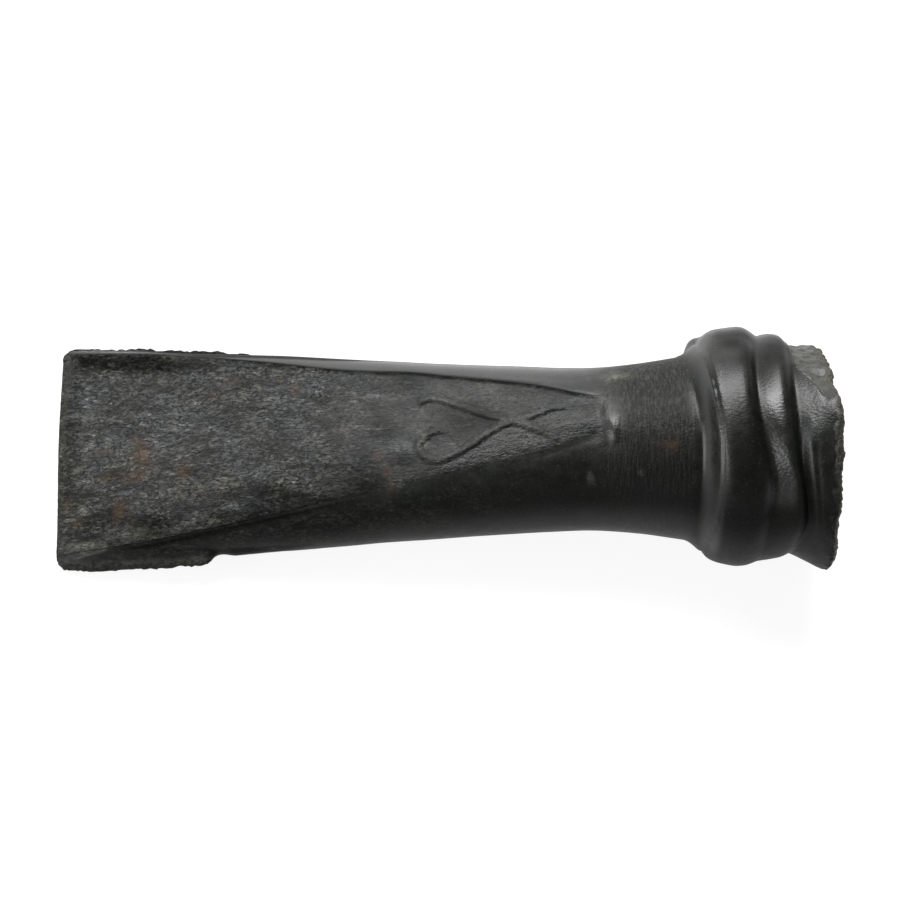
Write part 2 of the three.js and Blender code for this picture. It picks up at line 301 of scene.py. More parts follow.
def facet_surface(x, y):
    """Height of the facet, which is dished along its lower border only near the cutting edge."""
    upper = fade(y, -3, 3)
    depth = dish_depth(x) * (upper + (1 - upper) * (1 - fade(x, 4, 16)))
    down_wall = 1 - (1 - np.clip((from_border(x, y) - 0.05) / dish_wall(x), 0, 1)) ** 1.6
    across = np.clip(y / facet_half_width(x), -1, 1)
    swelling = crowning * fade(x, 1, 20) * (1 - 0.55 * fade(x, 62, 80)) * (1 - across ** 2)
    floor = facet_height(x) - depth * down_wall + swelling
    droop = edge_droop * np.clip(1 - x / 3.4, 0, 1) ** 2
    ramp_start = facet_length - 1.4 - 0.4 * ((y - 0.5) / 3) ** 2
    ramp = ramp_rise * np.clip(x - ramp_start, 0, None) ** 1.4 * (1 - fade(-y, 2, 5))
    return floor - droop + ramp


print("facet is", round(float(2 * facet_half_width(20.0)), 1), "mm wide at 20 mm from the edge")

# %% Rounded borders, edge and corners
lower_roll = curve_through([(0, 0.2), (25, 0.2), (40, 0.35), (54, 0.9), (65, 1.35), (84, 1.7)])
corner_rounding = 1.5


def softer_of(a, b, softness):
    """The lower of two heights, with their meeting line rounded."""
    blend = np.clip(0.5 + (b - a) / (2 * softness), 0, 1)
    return b * (1 - blend) + a * blend - softness * blend * (1 - blend)


def nose(x):
    """Rounds the section off towards the cutting edge."""
    return np.sqrt(np.clip(1 - np.clip(1 - x / nose_length, 0, 1) ** 2, 0, 1))


def body_width(x):
    """Half the width, with the two corners of the cutting edge rounded."""
    corner = np.clip(1 - x / corner_rounding, 0, 1)
    return half_width(x) - corner_rounding * (1 - np.sqrt(np.clip(1 - corner ** 2, 0, 1)))


print("half a millimetre from the edge the nose has", round(float(nose(0.5)), 2), "of its full thickness")

# %% [markdown]
# ## Collar
#
# The collar is a large ring and a small one, with a crease where the neck sweeps up to them. They were
# shaped by hand: on the front they are full and well parted, at the narrow sides they are softer, and there
# their foot reaches further down the neck. The back isn't seen, so we take it to be plainer still. A
# profile that is spun once round the axis would be the same all round, so we draw three profiles and pass
# from one to the next.

# %% Three profiles of the collar, as places and radii
side_collar = curve_through([
    (95.6, 13.2), (96.9, 13.95), (97.8, 14.35), (98.6, 14.95), (99.2, 15.5), (99.55, 15.74),
    (99.75, 15.7), (100.0, 16.05), (100.5, 16.75), (101.2, 17.35), (102.2, 17.85), (103.6, 18.1),
    (104.7, 17.95), (105.6, 17.5), (106.1, 17.15), (106.4, 16.98), (106.7, 17.1), (107.3, 17.24),
    (108.9, 17.28), (109.8, 17.08), (110.5, 16.6), (111.0, 16.1), (111.4, 16.05),
])
front_collar = curve_through([
    (95.6, 13.2), (96.9, 13.95), (97.8, 14.5), (98.6, 15.4), (99.1, 16.2), (99.5, 16.95),
    (99.75, 17.25), (99.9, 17.2), (100.15, 17.5), (100.6, 17.75), (101.3, 17.95), (102.6, 18.1),
    (103.8, 18.08), (104.6, 17.85), (105.2, 17.4), (105.7, 16.85), (105.95, 16.58), (106.2, 16.5),
    (106.6, 16.6), (107.2, 16.83), (107.8, 17.06), (108.4, 17.27), (108.9, 17.4), (109.4, 17.43),
    (109.9, 17.26), (110.4, 16.85), (110.8, 16.38), (111.1, 16.12), (111.4, 16.05),
])
back_collar = curve_through([
    (99, 15.5), (100.5, 16.7), (102.2, 17.75), (104.2, 18.1), (105.6, 17.85), (107, 17.4), (108.6, 17.05),
    (110, 16.75), (111.4, 16.2),
])
notch_depth = front_collar(103.6) - front_collar(106.2)
print("notch between the rings is", round(float(notch_depth), 2), "mm deep on the front")

# %% Collar, blended round the head
front_start = fade(turn, math.radians(40), math.radians(75))
front_end = fade(turn, math.radians(150), math.radians(185))
on_front = front_start * (1 - front_end)
back_start = fade(turn, math.radians(140), math.radians(190))
back_end = fade(turn, math.radians(230), math.radians(280))
on_back = 0.75 * (back_start * (1 - back_end)) * fade(body_places, 103.6, 105)
foot_reach = 1.9 + 0.4 * np.cos(turn)       # how far the foot reaches down the neck at the narrow sides
bow = foot_reach * np.cos(turn - math.radians(36)) ** 2 * (1 - fade(body_places, 98.5, 103.4))
swell_turn = fade(np.cos(turn - math.radians(25)), 0.75, 1)
upper_swell = 0.35 * swell_turn * (1 - fade(abs(body_places - 102.2), 1.5, 4))
side_rings = side_collar(body_places + bow) * (1 - on_front)
rings = side_rings + front_collar(body_places + bow) * on_front + upper_swell
collar = rings * (1 - on_back) + back_collar(body_places) * on_back
print("collar is up to", round(float(collar.max()), 2), "mm in radius")

# %% Sections from the cutting edge to the lip
past_neck = body_places > 92
body_wide = np.where(past_neck, np.maximum(collar, half_width(body_places)), body_width(body_places))
body_thick = np.where(past_neck, np.maximum(collar, crown(body_places)), crown(body_places))
y = body_wide * np.cos(turn)
z = abs(body_thick * np.sin(turn))
border_softness = 0.15 + (lower_roll(body_places) - 0.15) * fade(-y, 0, 3) + 0.15 * fade(body_places, 76, 84)
cut_share = 1 - fade(body_places, facet_length + 0.5, facet_length + 4)
cut_z = softer_of(z, facet_surface(body_places, y), border_softness) * cut_share + z * (1 - cut_share)
z = np.where(body_places < facet_length + 4, cut_z, z) * nose(body_places)
z = np.where(np.arange(columns) < front_total, z, -z)
body_skin = np.stack([np.broadcast_to(body_places, y.shape), y, z], axis=2)
print("body skin", body_skin.shape, "thickest", round(float(z.max()), 2))

# %% [markdown]
# ## The broken lip
#
# The socket's mouth is a flared tube with a ragged rim. On its upper front the outer part of the wall has
# broken away along a slanting line, which leaves a rough, stony face. We could cut that piece out with a
# second mesh, but then the shell would no longer be one grid. Instead every column of the lip runs as far
# as a table says is left of it, and the broken part of it is set back to a rough face.

# %% Uneven surfaces, and how much of the lip is left
def uneven(points, size, seed=0.0):
    """Smooth noise between about -0.5 and 0.5, with waves of that size in millimetres."""
    flat = points.reshape(-1, 3) / size + seed
    return np.array([noise.noise(point) for point in flat]).reshape(points.shape[:-1])


lip_kept = curve_through([
    (0, 0.88), (0.035, 0.75), (0.07, 0.7), (0.11, 0.74), (0.15, 0.82), (0.19, 0.88), (0.222, 0.87),
    (0.24, 0.9), (0.27, 0.98), (0.34, 0.96), (0.4, 0.97), (0.46, 0.95), (0.485, 0.99), (0.52, 1.02),
    (0.57, 1.03), (0.61, 0.98), (0.68, 0.99), (0.76, 0.92), (0.84, 0.98), (0.91, 0.93), (0.965, 0.97),
    (1, 0.88),
])
lip_length = head_length - lip_start
round_rim = np.stack([np.cos(even_turn), np.sin(even_turn), 0 * even_turn], axis=1) * 18
kept = np.clip(lip_kept(even_turn / (2 * math.pi)) + 0.05 * uneven(round_rim, 1.6), 0.02, 1.02)
rim_nose = np.minimum(0.75, 0.1 + 0.5 * lip_length * kept)      # how far the rounded rim stands out
lip_end = lip_start + lip_length * kept - rim_nose
print("between", round(float(kept.min()), 2), "and", round(float(kept.max()), 2), "of the lip is left")

# %% Outside of the lip: flared behind, steep and then level on the front
lip_flare = curve_through([(0, 0), (0.25, 0.28), (0.5, 0.6), (0.8, 0.95), (1, 1)])
lip_places = np.linspace(0, 1, lip_rows)[:, None]
lip_x = lip_start + (lip_end - lip_start) * lip_places
lower_side = window(even_degrees, 165, 250, 35)
flare = lip_flare((lip_x - lip_start) / lip_length)
flared = shoulder_radius + (lip_radius + 0.35 * lower_side - shoulder_radius) * flare
steep = shoulder_radius + 1.35 * fade(lip_x, lip_start - 0.3, 113.2) + 0.25 * fade(lip_x, 113, 117.5)
front_share = window(even_degrees, 92, 178, 30)
channel_x = 112.9
channel_bend = 0.5 * np.cos(np.radians(even_degrees - 135) * 2)
channel = 0.2 * np.exp(-((lip_x - channel_x - channel_bend) / 0.6) ** 2) * window(even_degrees, 100, 170, 22)
lip_r = flared * (1 - front_share) + steep * front_share - channel
print("lip is up to", round(float(lip_r.max()), 2), "mm in radius before it is broken")

# %% The broken face
behind = fade(even_degrees, 200, 210)
front_edge = 3.4 * fade(even_degrees, 62, 92) * (1 - behind)
back_edge = 6.4 * (1 - fade(even_degrees, 306, 352)) * behind
chip_edge = lip_start - 0.2 + front_edge + back_edge
around_chip = window(even_degrees, -20, 95, 22) + window(even_degrees, 290, 400, 12)
chipped = around_chip * fade(lip_x, chip_edge, chip_edge + 0.45)
lip_skin = np.stack([lip_x, lip_r * np.cos(even_turn), lip_r * np.sin(even_turn)], axis=2)
streaks = 0.3 * uneven(lip_skin * [0.45, 1, 1], 0.9) + 0.2 * uneven(lip_skin, 2.4)
set_back = 0.75             # how deep the broken face lies below the shoulder
chip_r = shoulder_radius - set_back + streaks
lip_r = lip_r * (1 - chipped) + np.minimum(chip_r, lip_r) * chipped
lip_skin = np.stack([lip_x, lip_r * np.cos(even_turn), lip_r * np.sin(even_turn)], axis=2)
print(round(100 * float(chipped.mean())), "percent of the lip's outside is broken away")

# %% Rim, and the inside of the lip
def inner_radius(x):
    shoulder_inside = shoulder_radius - wall
    return shoulder_inside + (lip_radius - lip_wall - shoulder_radius + wall) * (x - lip_start) / lip_length


over = np.linspace(0, math.pi, rim_rows + 2)[1:-1, None]
rim_in = np.minimum(inner_radius(lip_end), lip_r[-1] - 1.2)
rim_middle = (lip_r[-1] + rim_in) / 2
rim_r = rim_middle + (lip_r[-1] - rim_in) / 2 * np.cos(over)
rim_x = lip_end + rim_nose * np.sin(over)
rim_skin = np.stack([rim_x, rim_r * np.cos(even_turn), rim_r * np.sin(even_turn)], axis=2)
inner_rows = 8
inward = np.linspace(0, 1, inner_rows)[:, None]
inner_x = lip_end + (lip_start - lip_end) * inward
inner_r = rim_in + (inner_radius(lip_start) - rim_in) * inward
inner_skin = np.stack([inner_x, inner_r * np.cos(even_turn), inner_r * np.sin(even_turn)], axis=2)
rim_thickness = (lip_r[-1] - rim_in).mean()
print("rim reaches x", round(float(rim_x.max()), 2), "and is", round(float(rim_thickness), 2), "mm thick")

# %% [markdown]
# ## The socket
#
# The socket was left by a clay core. It narrows from the mouth to a blunt end in the blade, following the
# outside at about an even distance, so its sections turn from circles into flat ovals. It could be a second
# mesh inside the first, but then the shell would have no wall, so the same grid simply runs on down the
# inside.

# %% Section of the socket
socket_floor = head_length - 66
floor_rounding = 1.6
socket_width = curve_through([(0, 0.62), (0.1, 0.7), (0.3, 0.8), (0.6, 0.92), (1, 1)])
socket_height = curve_through([(0, 0.84), (0.3, 0.95), (0.6, 1), (1, 1)])


def socket_oval(x):
    """Half width and half height of the socket's section at x."""
    place = (x - socket_floor) / (body_length - socket_floor)
    height = np.where(x < facet_length, np.minimum(crown(x), facet_height(x)), crown(x))
    lower = ((half_width(x) - wall) * socket_width(place), (height - wall) * socket_height(place))
    neck = neck_radius - wall
    upper = neck + (shoulder_radius - wall - neck) * (x - body_length) / (lip_start - body_length)
    return np.where(x > body_length, upper, lower[0]), np.where(x > body_length, upper, lower[1])


print("socket ends", round(socket_floor, 1), "mm from the cutting edge")

# %% Socket's wall, down to the pole of its floor, and the whole skin
down = np.linspace(lip_start, socket_floor + floor_rounding, 24)[1:, None]
socket_wide, socket_thick = socket_oval(down)
socket_skin = np.stack([
    down + 0 * even_turn, socket_wide * np.cos(even_turn), socket_thick * np.sin(even_turn)], axis=2)
rounding = np.radians([30, 60, 90])[:, None]
floor_x = socket_floor + floor_rounding * (1 - np.sin(rounding))
shrink = floor_rounding * (1 - np.cos(rounding))
floor_skin = np.stack([
    floor_x + 0 * even_turn, (socket_wide[-1] - shrink) * np.cos(even_turn),
    (socket_thick[-1] - shrink) * np.sin(even_turn)], axis=2)
pole = np.broadcast_to(np.array([socket_floor, 0.0, 0.0]), (1, columns, 3))
skin = np.concatenate([body_skin, lip_skin, rim_skin, inner_skin, socket_skin, floor_skin, pole])
rows = len(skin)
outer_rows = len(body_skin) + len(lip_skin)
print(rows, "rows,", 2 * columns * (rows - 1), "triangles")

# %% [markdown]
# ## Swing of the rings
#
# The small ring and the lip's root don't run straight round: below the middle of the front they bend
# together towards the mouth and back again, as if the soft pattern had been pushed with a thumb. Rather
# than bending the finished mesh with a lattice, we slide the grid's points lengthwise, by an amount read
# from a table of degrees round the head.

# %% Slide the rings lengthwise
swing_band = curve_through([
    (0, 0.4), (35, 0.4), (60, -0.5), (95, -0.6), (112, 0.3), (135, 1.7), (150, 1.5), (170, 0.6),
    (200, 0), (345, 0), (360, 0.4),
])
swing_lip = curve_through([
    (0, 0), (100, 0), (125, 0.3), (145, 1.2), (160, 1.7), (178, 0.9), (200, 0.1), (360, 0),
])
full_turn = np.concatenate([turn, np.broadcast_to(even_turn, (rows - len(turn), columns))])
full_degrees = np.degrees(full_turn)
outer_x = skin[:outer_rows, :, 0]
outer_degrees = full_degrees[:outer_rows]
swing = swing_band(outer_degrees) * fade(outer_x, 101.5, 107) * (1 - fade(outer_x, 107.5, 112.5))
swing += swing_lip(outer_degrees) * fade(outer_x, 106.5, 111.6) * (1 - fade(outer_x, 111.8, 116.8))
skin[:outer_rows, :, 0] += swing
in_order = bool((np.diff(skin[40:outer_rows, :, 0], axis=0) > 0).all())
print("rings swing by up to", round(float(swing.max()), 2), "mm; rows stay in order", in_order)

# %% [markdown]
# ## Crossed ribs
#
# The front facet carries two thin raised lines that cross like ribbons. In the mould they were scratched
# lines, so on the bronze they stand up as low rounded ribs whose lower flank is the steeper one. They could
# be bevelled curves laid on the facet, but then they would not be one metal with it. So each is a line on
# the facet, and every vertex near it is lifted by how close it lies.

# %% Lines of the ribs
ribs_start = 55.0
ribs_length = 23.6
ribs_half_height = 5.2
ribs_drop = 0.9             # the ribs sit a little below the axis


def rib_line(shares, raised):
    """Points close together along a rib, from a few along it."""
    shares = np.array(shares)
    steps = np.arange(len(shares))
    fine = np.linspace(0, len(shares) - 1, 240)
    share_along = curve_through(list(zip(steps, shares[:, 0])))(fine)
    share_across = curve_through(list(zip(steps, shares[:, 1])))(fine)
    line_y = ribs_half_height * share_across - ribs_drop + raised
    return np.stack([ribs_start + ribs_length * share_along, line_y], axis=1)


upper_rib = rib_line([
    (0, 0.83), (0.02, 0.89), (0.045, 0.95), (0.09, 0.99), (0.13, 0.96), (0.175, 0.88), (0.23, 0.76),
    (0.29, 0.63), (0.37, 0.46), (0.45, 0.3), (0.51, 0.2), (0.565, 0.12), (0.63, 0.02), (0.71, -0.13),
    (0.79, -0.31), (0.876, -0.49),
], 0.3)
lower_rib = rib_line([
    (0.19, -0.07), (0.155, -0.05), (0.12, -0.08), (0.08, -0.17), (0.05, -0.28), (0.025, -0.4),
    (0.012, -0.52), (0.018, -0.65), (0.035, -0.77), (0.06, -0.88), (0.09, -0.96), (0.125, -0.99),
    (0.17, -0.95), (0.236, -0.83), (0.31, -0.66), (0.38, -0.47), (0.45, -0.25), (0.52, -0.06),
    (0.57, 0.03), (0.62, 0.1), (0.68, 0.17), (0.74, 0.26), (0.78, 0.33), (0.82, 0.4), (0.86, 0.455),
    (0.894, 0.48), (0.94, 0.475), (0.975, 0.43),
], 0.15)
rib_run = np.linalg.norm(np.diff(upper_rib, axis=0), axis=1).sum()
print("upper rib is", round(float(rib_run), 1), "mm long")

# %% Lift the facet along the ribs
rib_lift = 0.42
rib_reach = 0.76


def rib_height(x, y, line):
    """The lift at points (x, y) near a rib's line. It tapers at both ends."""
    away = np.stack([x[..., None] - line[:, 0], y[..., None] - line[:, 1]])
    away[1] *= np.where(away[1] < 0, 1.5, 0.5)
    distance = np.sqrt((away ** 2).sum(0))
    nearest = distance.argmin(-1)
    close = np.clip(1 - (distance.min(-1) / rib_reach) ** 2, 0, 1)
    ends = fade(nearest, 0, 22) * fade(len(line) - 1 - nearest, 0, 30)
    return rib_lift * close ** 1.5 * (0.35 + 0.65 * ends)


near_ribs = (body_places[:, 0] > ribs_start - 1) & (body_places[:, 0] < ribs_start + ribs_length + 1)
rib_rows = np.flatnonzero(near_ribs)
rib_columns = np.arange(side_columns, side_columns + front_columns + 1)
patch = np.ix_(rib_rows, rib_columns)
patch_x, patch_y = skin[..., 0][patch], skin[..., 1][patch]
lift = np.maximum(rib_height(patch_x, patch_y, upper_rib), rib_height(patch_x, patch_y, lower_rib))
skin[..., 2][patch] += lift
print("ribs lift", int((lift > 0.05).sum()), "vertices, up to", round(float(lift.max()), 2), "mm")

# %% [markdown]
# ## Flash
#
# Where the two halves of the mould met, metal crept into the gap and froze as flash: a thin crest along the
# upper narrow side and a stronger fin along the lower one that stops in a step. Extruding the parting
# line's edges would give it a sharp foot that the casting doesn't have, so we push the columns near that
# line outwards. The cutting edge isn't quite square to the head either: its lower end is pulled back a
# little.

# %% Push the flash out along the parting line
flash_start = 0.1
flash_length = 39.7
upper_flash_height = 0.75
lower_flash_height = 1.95
upper_flash = curve_through([
    (0, 0.2), (0.03, 0.7), (0.1, 0.95), (0.19, 0.75), (0.27, 1), (0.345, 1), (0.375, 0.55), (0.42, 1),
    (0.456, 0.8), (0.5, 1.05), (0.56, 0.9), (0.6, 1.15), (0.65, 0.6), (0.7, 0.8), (0.76, 0.35),
    (0.82, 0.5), (0.9, 0.12), (1, 0),
])
lower_flash = curve_through([
    (0, 0.55), (0.03, 0.8), (0.11, 0.95), (0.2, 1), (0.3, 0.92), (0.4, 1), (0.5, 0.93), (0.575, 0.95),
    (0.592, 0.85), (0.612, 0.4), (0.7, 0.3), (0.8, 0.2), (1, 0),
])
body = skin[:len(body_skin)]
on_flash = (body[..., 0] - flash_start) / flash_length
upper_crest = 1 - fade(abs(body[..., 2]), 0.3, 0.9)
fin_reach = 1.2 + 1.2 * (1 - fade(on_flash, 0.3, 0.57))
lower_crest = 1 - fade(abs(body[..., 2]), 0.2, fin_reach)
upper_fin = upper_flash_height * upper_flash(on_flash) * upper_crest
lower_fin = lower_flash_height * lower_flash(on_flash) * lower_crest
fin = np.where(np.cos(turn) > 0, upper_fin, lower_fin)
fin = np.where((on_flash > 0) & (on_flash < 1), fin, 0)
fin = fin * fade(abs(body[..., 1]) / half_width(body[..., 0]), 0.82, 0.97)
crest = 1 - fade(abs(body[..., 2]), 0.45, 0.8)      # the top of the flash, where it is granular
body[..., 1] += np.sign(np.cos(turn)) * fin
pulled_back = 0.75          # how far the lower end of the cutting edge lies behind the upper one
body[..., 0] += pulled_back * fade(-body[..., 1], -6, 17) * (1 - fade(body[..., 0], 0, 12))
print("flash stands up to", round(float(fin.max()), 2), "mm")

# %% [markdown]
# ## Root of the side loop
#
# A side loop was meant to join the neck to the collar on the upper side, but the metal never filled it, and
# only its root is there, as a small block in the corner between neck and ring. A separate block would have
# to be joined on, so we lift the skin to the block's outline instead.

# %% Lift the skin to the loop's root
root_start = 95.9
root_end = 104
loop_line = curve_through([
    (root_start, 14.2), (96.3, 15.5), (96.8, 16.7), (97.5, 17.4), (98.6, 17.65), (100.1, 17.8),
    (101.5, 17.95), (103, 18.05), (104.4, 18.1),
])
sideways = np.hypot(body[..., 1], body[..., 2])
loop_turn = (np.degrees(turn) + 180) % 360 - 180
root_width = window(loop_turn, -22, 22, 13)
root_length = (body[..., 0] > root_start) * (body[..., 0] < root_end)
root = np.clip(loop_line(body[..., 0]) - sideways, 0, None) * root_width * root_length
body[..., 1:] *= (1 + root / sideways)[..., None]
print("loop root lifts", int((root > 0).sum()), "vertices, up to", round(float(root.max()), 2), "mm")

# %% [markdown]
# ## Small marks
#
# A mould leaves small lumps where a grain fell out of it and small pits where gas was trapped. Sculpting
# them by hand could not be repeated, so each is a soft bump or dent at a stated place on the front.

# %% Lumps and pits, as x, y, reach, height and lengthwise stretch
def front_mark(x, y, reach, height, stretch=1.0):
    away = ((body[..., 0] - x) / (reach * stretch)) ** 2 + ((body[..., 1] - y) / reach) ** 2
    return height * np.exp(-away) * (np.arange(columns) < front_total)


edge_marks = [
    (3.3, 10.8, 0.5, -0.22), (4.7, -4.0, 0.45, -0.25), (4.6, -15.6, 0.7, 0.26, 2.2),
    (7.4, -15.4, 0.6, 0.2, 1.6),
]
waist_lumps = [(80.9, -8.7, 0.5, 0.22), (80.5, -11.6, 0.6, 0.25, 1.6)]
facet_lumps = [(52.6, -9.7, 0.4, 0.14, 1.8), (33.6, 11.2, 0.6, 0.12, 1.8), (56.0, -1.7, 0.5, 0.12)]
facet_end_marks = [(82.4, 0.2, 2.4, -0.15, 0.3), (84.3, -2.6, 2.3, 0.36, 0.38)]
neck_lumps = [(85.3, 7.4, 0.6, 0.12, 2.4), (86.6, 6.0, 0.4, 0.1, 1.4)]
facet_pits = [(43.5, 2.5, 0.35, -0.12)]
all_marks = edge_marks + waist_lumps + facet_lumps + facet_end_marks + neck_lumps + facet_pits
marks = sum([front_mark(*mark) for mark in all_marks])
body[..., 2] += marks
print("marks from", round(float(marks.min()), 2), "to", round(float(marks.max()), 2), "mm")

# %% [markdown]
# ## Regions of the surface
#
# Sand and clay moulds leave a surface that is never quite true, and the ground then colours it unevenly.
# The facets are the most uneven, the sides and the collar are much smoother, and the cutting edge, the
# flash and the rim are granular, because there the metal froze against loose grains. Painting such regions
# by hand would tie them to one mesh. We write each as a mask between 0 and 1 over the grid instead. A mask
# can move the vertices, and it is then kept as an attribute, so that the material can follow it.

# %% Facets and neck
x, y, z = skin[..., 0], skin[..., 1], skin[..., 2]
outside = (np.arange(rows) < outer_rows)[:, None]
inside = from_border(np.clip(x, 0.2, 200), y)
calmer = 1 - 0.52 * fade(x, 35, 60)
border_fade = 0.35 + 2.2 * fade(-y, 0, 2) * fade(x, 35, 65)
facet_end = fade(x, facet_length - 3, facet_length + 1)
on_facet = outside * fade(inside, -0.1, border_fade) * (1 - facet_end)
neck = fade(x, 80, 88) * (1 - fade(x, 94.5, 97.5)) * outside
print("facets cover", round(float((on_facet > 0.5).mean()), 3), "of the grid")

# %% Granular edge, flash and rim
edge_grit = 1 - fade(x + 0.5 * uneven(skin, 1.3), 0.9, 1.9)
fin_grit = np.zeros((rows, columns))
fin_grit[:len(body)] = np.where(np.cos(turn) > 0, fade(fin, 0.12, 0.45) * crest, 0.85 * fade(fin, 0.9, 1.6))
fin_grit = fin_grit * (1 - fade(inside, -0.2, 0.1))
rim_distance = abs(x - (lip_start + lip_length * kept))
rim_grit = (x > lip_start - 0.6) * (1 - fade(rim_distance + 0.8 * uneven(skin, 1.1), 0.5, 1.6))
grit = np.clip(np.maximum.reduce([edge_grit, fin_grit, rim_grit]), 0, 1)
print("grit covers", round(float(grit.mean()), 3), "of the grid")

# %% Helpers for places along and around the head
def along(start, end, soft):
    """1 between two places along the head, in millimetres."""
    return window(x, start, end, soft)


def around(start, end, soft):
    """1 between two angles round the head, in degrees from the +Y side over the front."""
    return window(full_degrees, start, end, soft)


worn_spot = np.exp(-((x - 84.3) / 1.0) ** 2 - ((y + 2.3) / 2.4) ** 2) * (z > 0)
print("the facet's end is worn on", int((worn_spot > 0.5).sum()), "vertices")

# %% Painted shade in the facets' hollows, their low corner and along their lower border
hollow_length = fade(x, 1.5, 3) * (1 - fade(x, 13, 24))
hollow_width = fade(inside, -0.2, 0.4) * (1 - fade(inside, 1.6, 4.4))
hollow = 0.9 * hollow_length * (y > 0) * hollow_width
low_corner = 0.6 * (1 - fade(y, -14, -1)) * (1 - fade(x, 18, 34))
behind_edge = 0.5 * fade(x, 0.8, 1.8) * (1 - fade(x, 2.2, 4.6))
low_border = 0.85 * (1 - fade(inside, 0.8, 8.5)) * (y < 0) * along(12, 60, 12)
ribbed_part = 0.2 * fade(x, 35, 60)
patchy = 0.5 * uneven(skin * [0.5, 1, 1], 3.4, 6.6)
darkest = np.maximum.reduce([hollow, low_corner, behind_edge, low_border, ribbed_part])
# Painted shade: these places and a patchy noise make one mask, which darkens the facets' colour and thins
# their dust.
painted_facet_shade = on_facet * np.clip(darkest + patchy, 0, 1)
low_ridge = np.exp(-((x - 4.6) / 2.6) ** 2 - ((y + 15.7) / 0.8) ** 2) * (z > 0)
print("hollows cover", round(float((painted_facet_shade > 0.3).mean()), 3), "of the grid")

# %% Painted shade lines along the facets' borders, and a dark band along the upper parting line
# Painted shade: a dark line just outside the lower border, where the side turns away, and one just inside
# the upper border, under its step.
lower_border_shade = outside * np.exp(-((inside + 0.4) / 0.45) ** 2) * (y < 0) * along(1, 56, 14)
upper_length = fade(x, 16, 30) * (1 - fade(x, 79, 83))
upper_border_shade = outside * np.exp(-((inside - 0.1) / 0.4) ** 2) * (y > 0) * upper_length
crest_grit = fin_grit * (y > 0)
body_x = np.clip(x, 0, body_length)
outline_slope = 0.466       # the tangent of the 25 degrees by which the camera is lowered
side_seen_to = np.degrees(np.arctan(outline_slope * crown(body_x) / half_width(body_x)))
from_parting = (full_degrees + 180) % 360 - 180
seam_reach = 4 + 9 * along(12, 52, 12)
past_seam = fade(from_parting - side_seen_to, seam_reach, seam_reach + 6)
upper_seam = 0.9 * fade(from_parting, -30, -10) * (1 - past_seam) * along(8, 90, 8) * outside
print("lines cover", round(float((np.maximum(lower_border_shade, upper_border_shade) > 0.5).mean()), 4), "of the grid")

# %% Painted shade on the underside, the ring's face and the collar's top, and the dull mask
underside = fade(full_turn, 2.05, 2.75) * (1 - fade(full_turn, 4.6, 5.9)) * outside * (1 - on_facet)
towards_floor = fade(full_turn, 2.4, 3.0)
ring_shade = 0.6 * along(100.3, 105.6, 1.2) * around(96, 160, 14) * outside
bright_band = along(105.8, 111.2, 1.2) * around(78, 150, 14) * outside
# Painted shade on the underside, kept lighter on the small ring's bright band, and on the ring's front.
underside_and_ring_shade = np.maximum(underside * (0.95 - 0.5 * bright_band), ring_shade)
underside_and_ring_shade = underside_and_ring_shade * (1 - (0.45 - 0.15 * fade(x, 94, 98)) * towards_floor)
# Painted shade, mottled by noise, on the upper front of the collar.
collar_top_shade = around(34, 84, 16) * fade(x, 98.5, 101) * (1 - fade(x, 111, 112.5)) * outside
collar_top_shade = 0.62 * collar_top_shade * np.clip(0.8 + 0.9 * uneven(skin, 3.2, 4.1), 0, 1)
dull_neck = 0.6 * neck * (1 - 0.4 * towards_floor)
# The dull mask joins the matt neck and the granular crest with all of the painted shade; the material
# darkens its colour and dulls its gloss.
dull_and_shade_parts = [
    dull_neck, underside_and_ring_shade, collar_top_shade, painted_facet_shade * (1 - low_ridge), lower_border_shade, upper_border_shade, crest_grit, upper_seam]
dull_and_shade = np.clip(np.maximum.reduce(dull_and_shade_parts) * (1 - 0.9 * worn_spot), 0, 1)
print("dull skin covers", round(float((dull_and_shade > 0.5).mean()), 3), "of the grid")

# %% Parts polished by handling
upper_side = outside * (np.cos(full_turn) > 0) * (x < 90)
upper_strip = upper_side * (1 - fade(inside, -0.3, 0.1)) * (1 - fade(x, 68, 86))
fillet = along(96.8, 100.6, 1.4) * around(60, 200, 20) * outside
bright_lip = along(111.8, 118.5, 0.8) * around(70, 118, 12) * outside
polished_parts = [upper_strip, 0.7 * bright_band, 0.25 * bright_lip, 0.6 * worn_spot, 0.6 * fillet]
polished = np.maximum.reduce(polished_parts) * (1 - grit) * (1 - upper_seam)
print("polished skin covers", round(float((polished > 0.3).mean()), 3), "of the grid")

# %% Dust with painted sheen, streaks, pits and the broken face
folded = on_facet * (1 - 0.95 * fade(x, 34, 52))
# The facets' dust also paints the sheen of light on their grainy skin, and it thins where facet shade is
# painted.
dust_and_sheen = on_facet * calmer * (1 - 0.75 * painted_facet_shade) + 0.25 * underside * (1 - fade(x, 45, 85)) * (1 - lower_border_shade)
streaked = neck * (1 - window(full_turn, 1.6, 6.2, 0.7)) * (1 - worn_spot)
pitted_neck = 0.8 * neck * (1 - window(full_turn, 2.1, 6.0, 0.8))
pitted = outside * np.clip(0.1 + on_facet + pitted_neck + 0.35 * fade(x, 97, 100), 0, 1)
broken_face = np.zeros((rows, columns))
broken_face[len(body):outer_rows] = chipped
print("dust covers", round(float((dust_and_sheen > 0.3).mean()), 3), "of the grid")

# %% [markdown]
# ## An as-cast surface
#
# The facets carry long low ripples across the blade, with finer ones on them, and the granular parts are
# covered in grains about half a millimetre across. Bump in the material would shade like this but leave the
# outline smooth, so forms larger than about half a millimetre are moved in the mesh itself, along its
# normals.

# %% Move the skin along its normals
def normals_of(skin):
    lengthwise = np.gradient(skin, axis=0)
    sideways = np.roll(skin, -1, axis=1) - np.roll(skin, 1, axis=1)
    normal = np.cross(sideways, lengthwise)
    return normal / np.maximum(np.linalg.norm(normal, axis=2, keepdims=True), 1e-9)


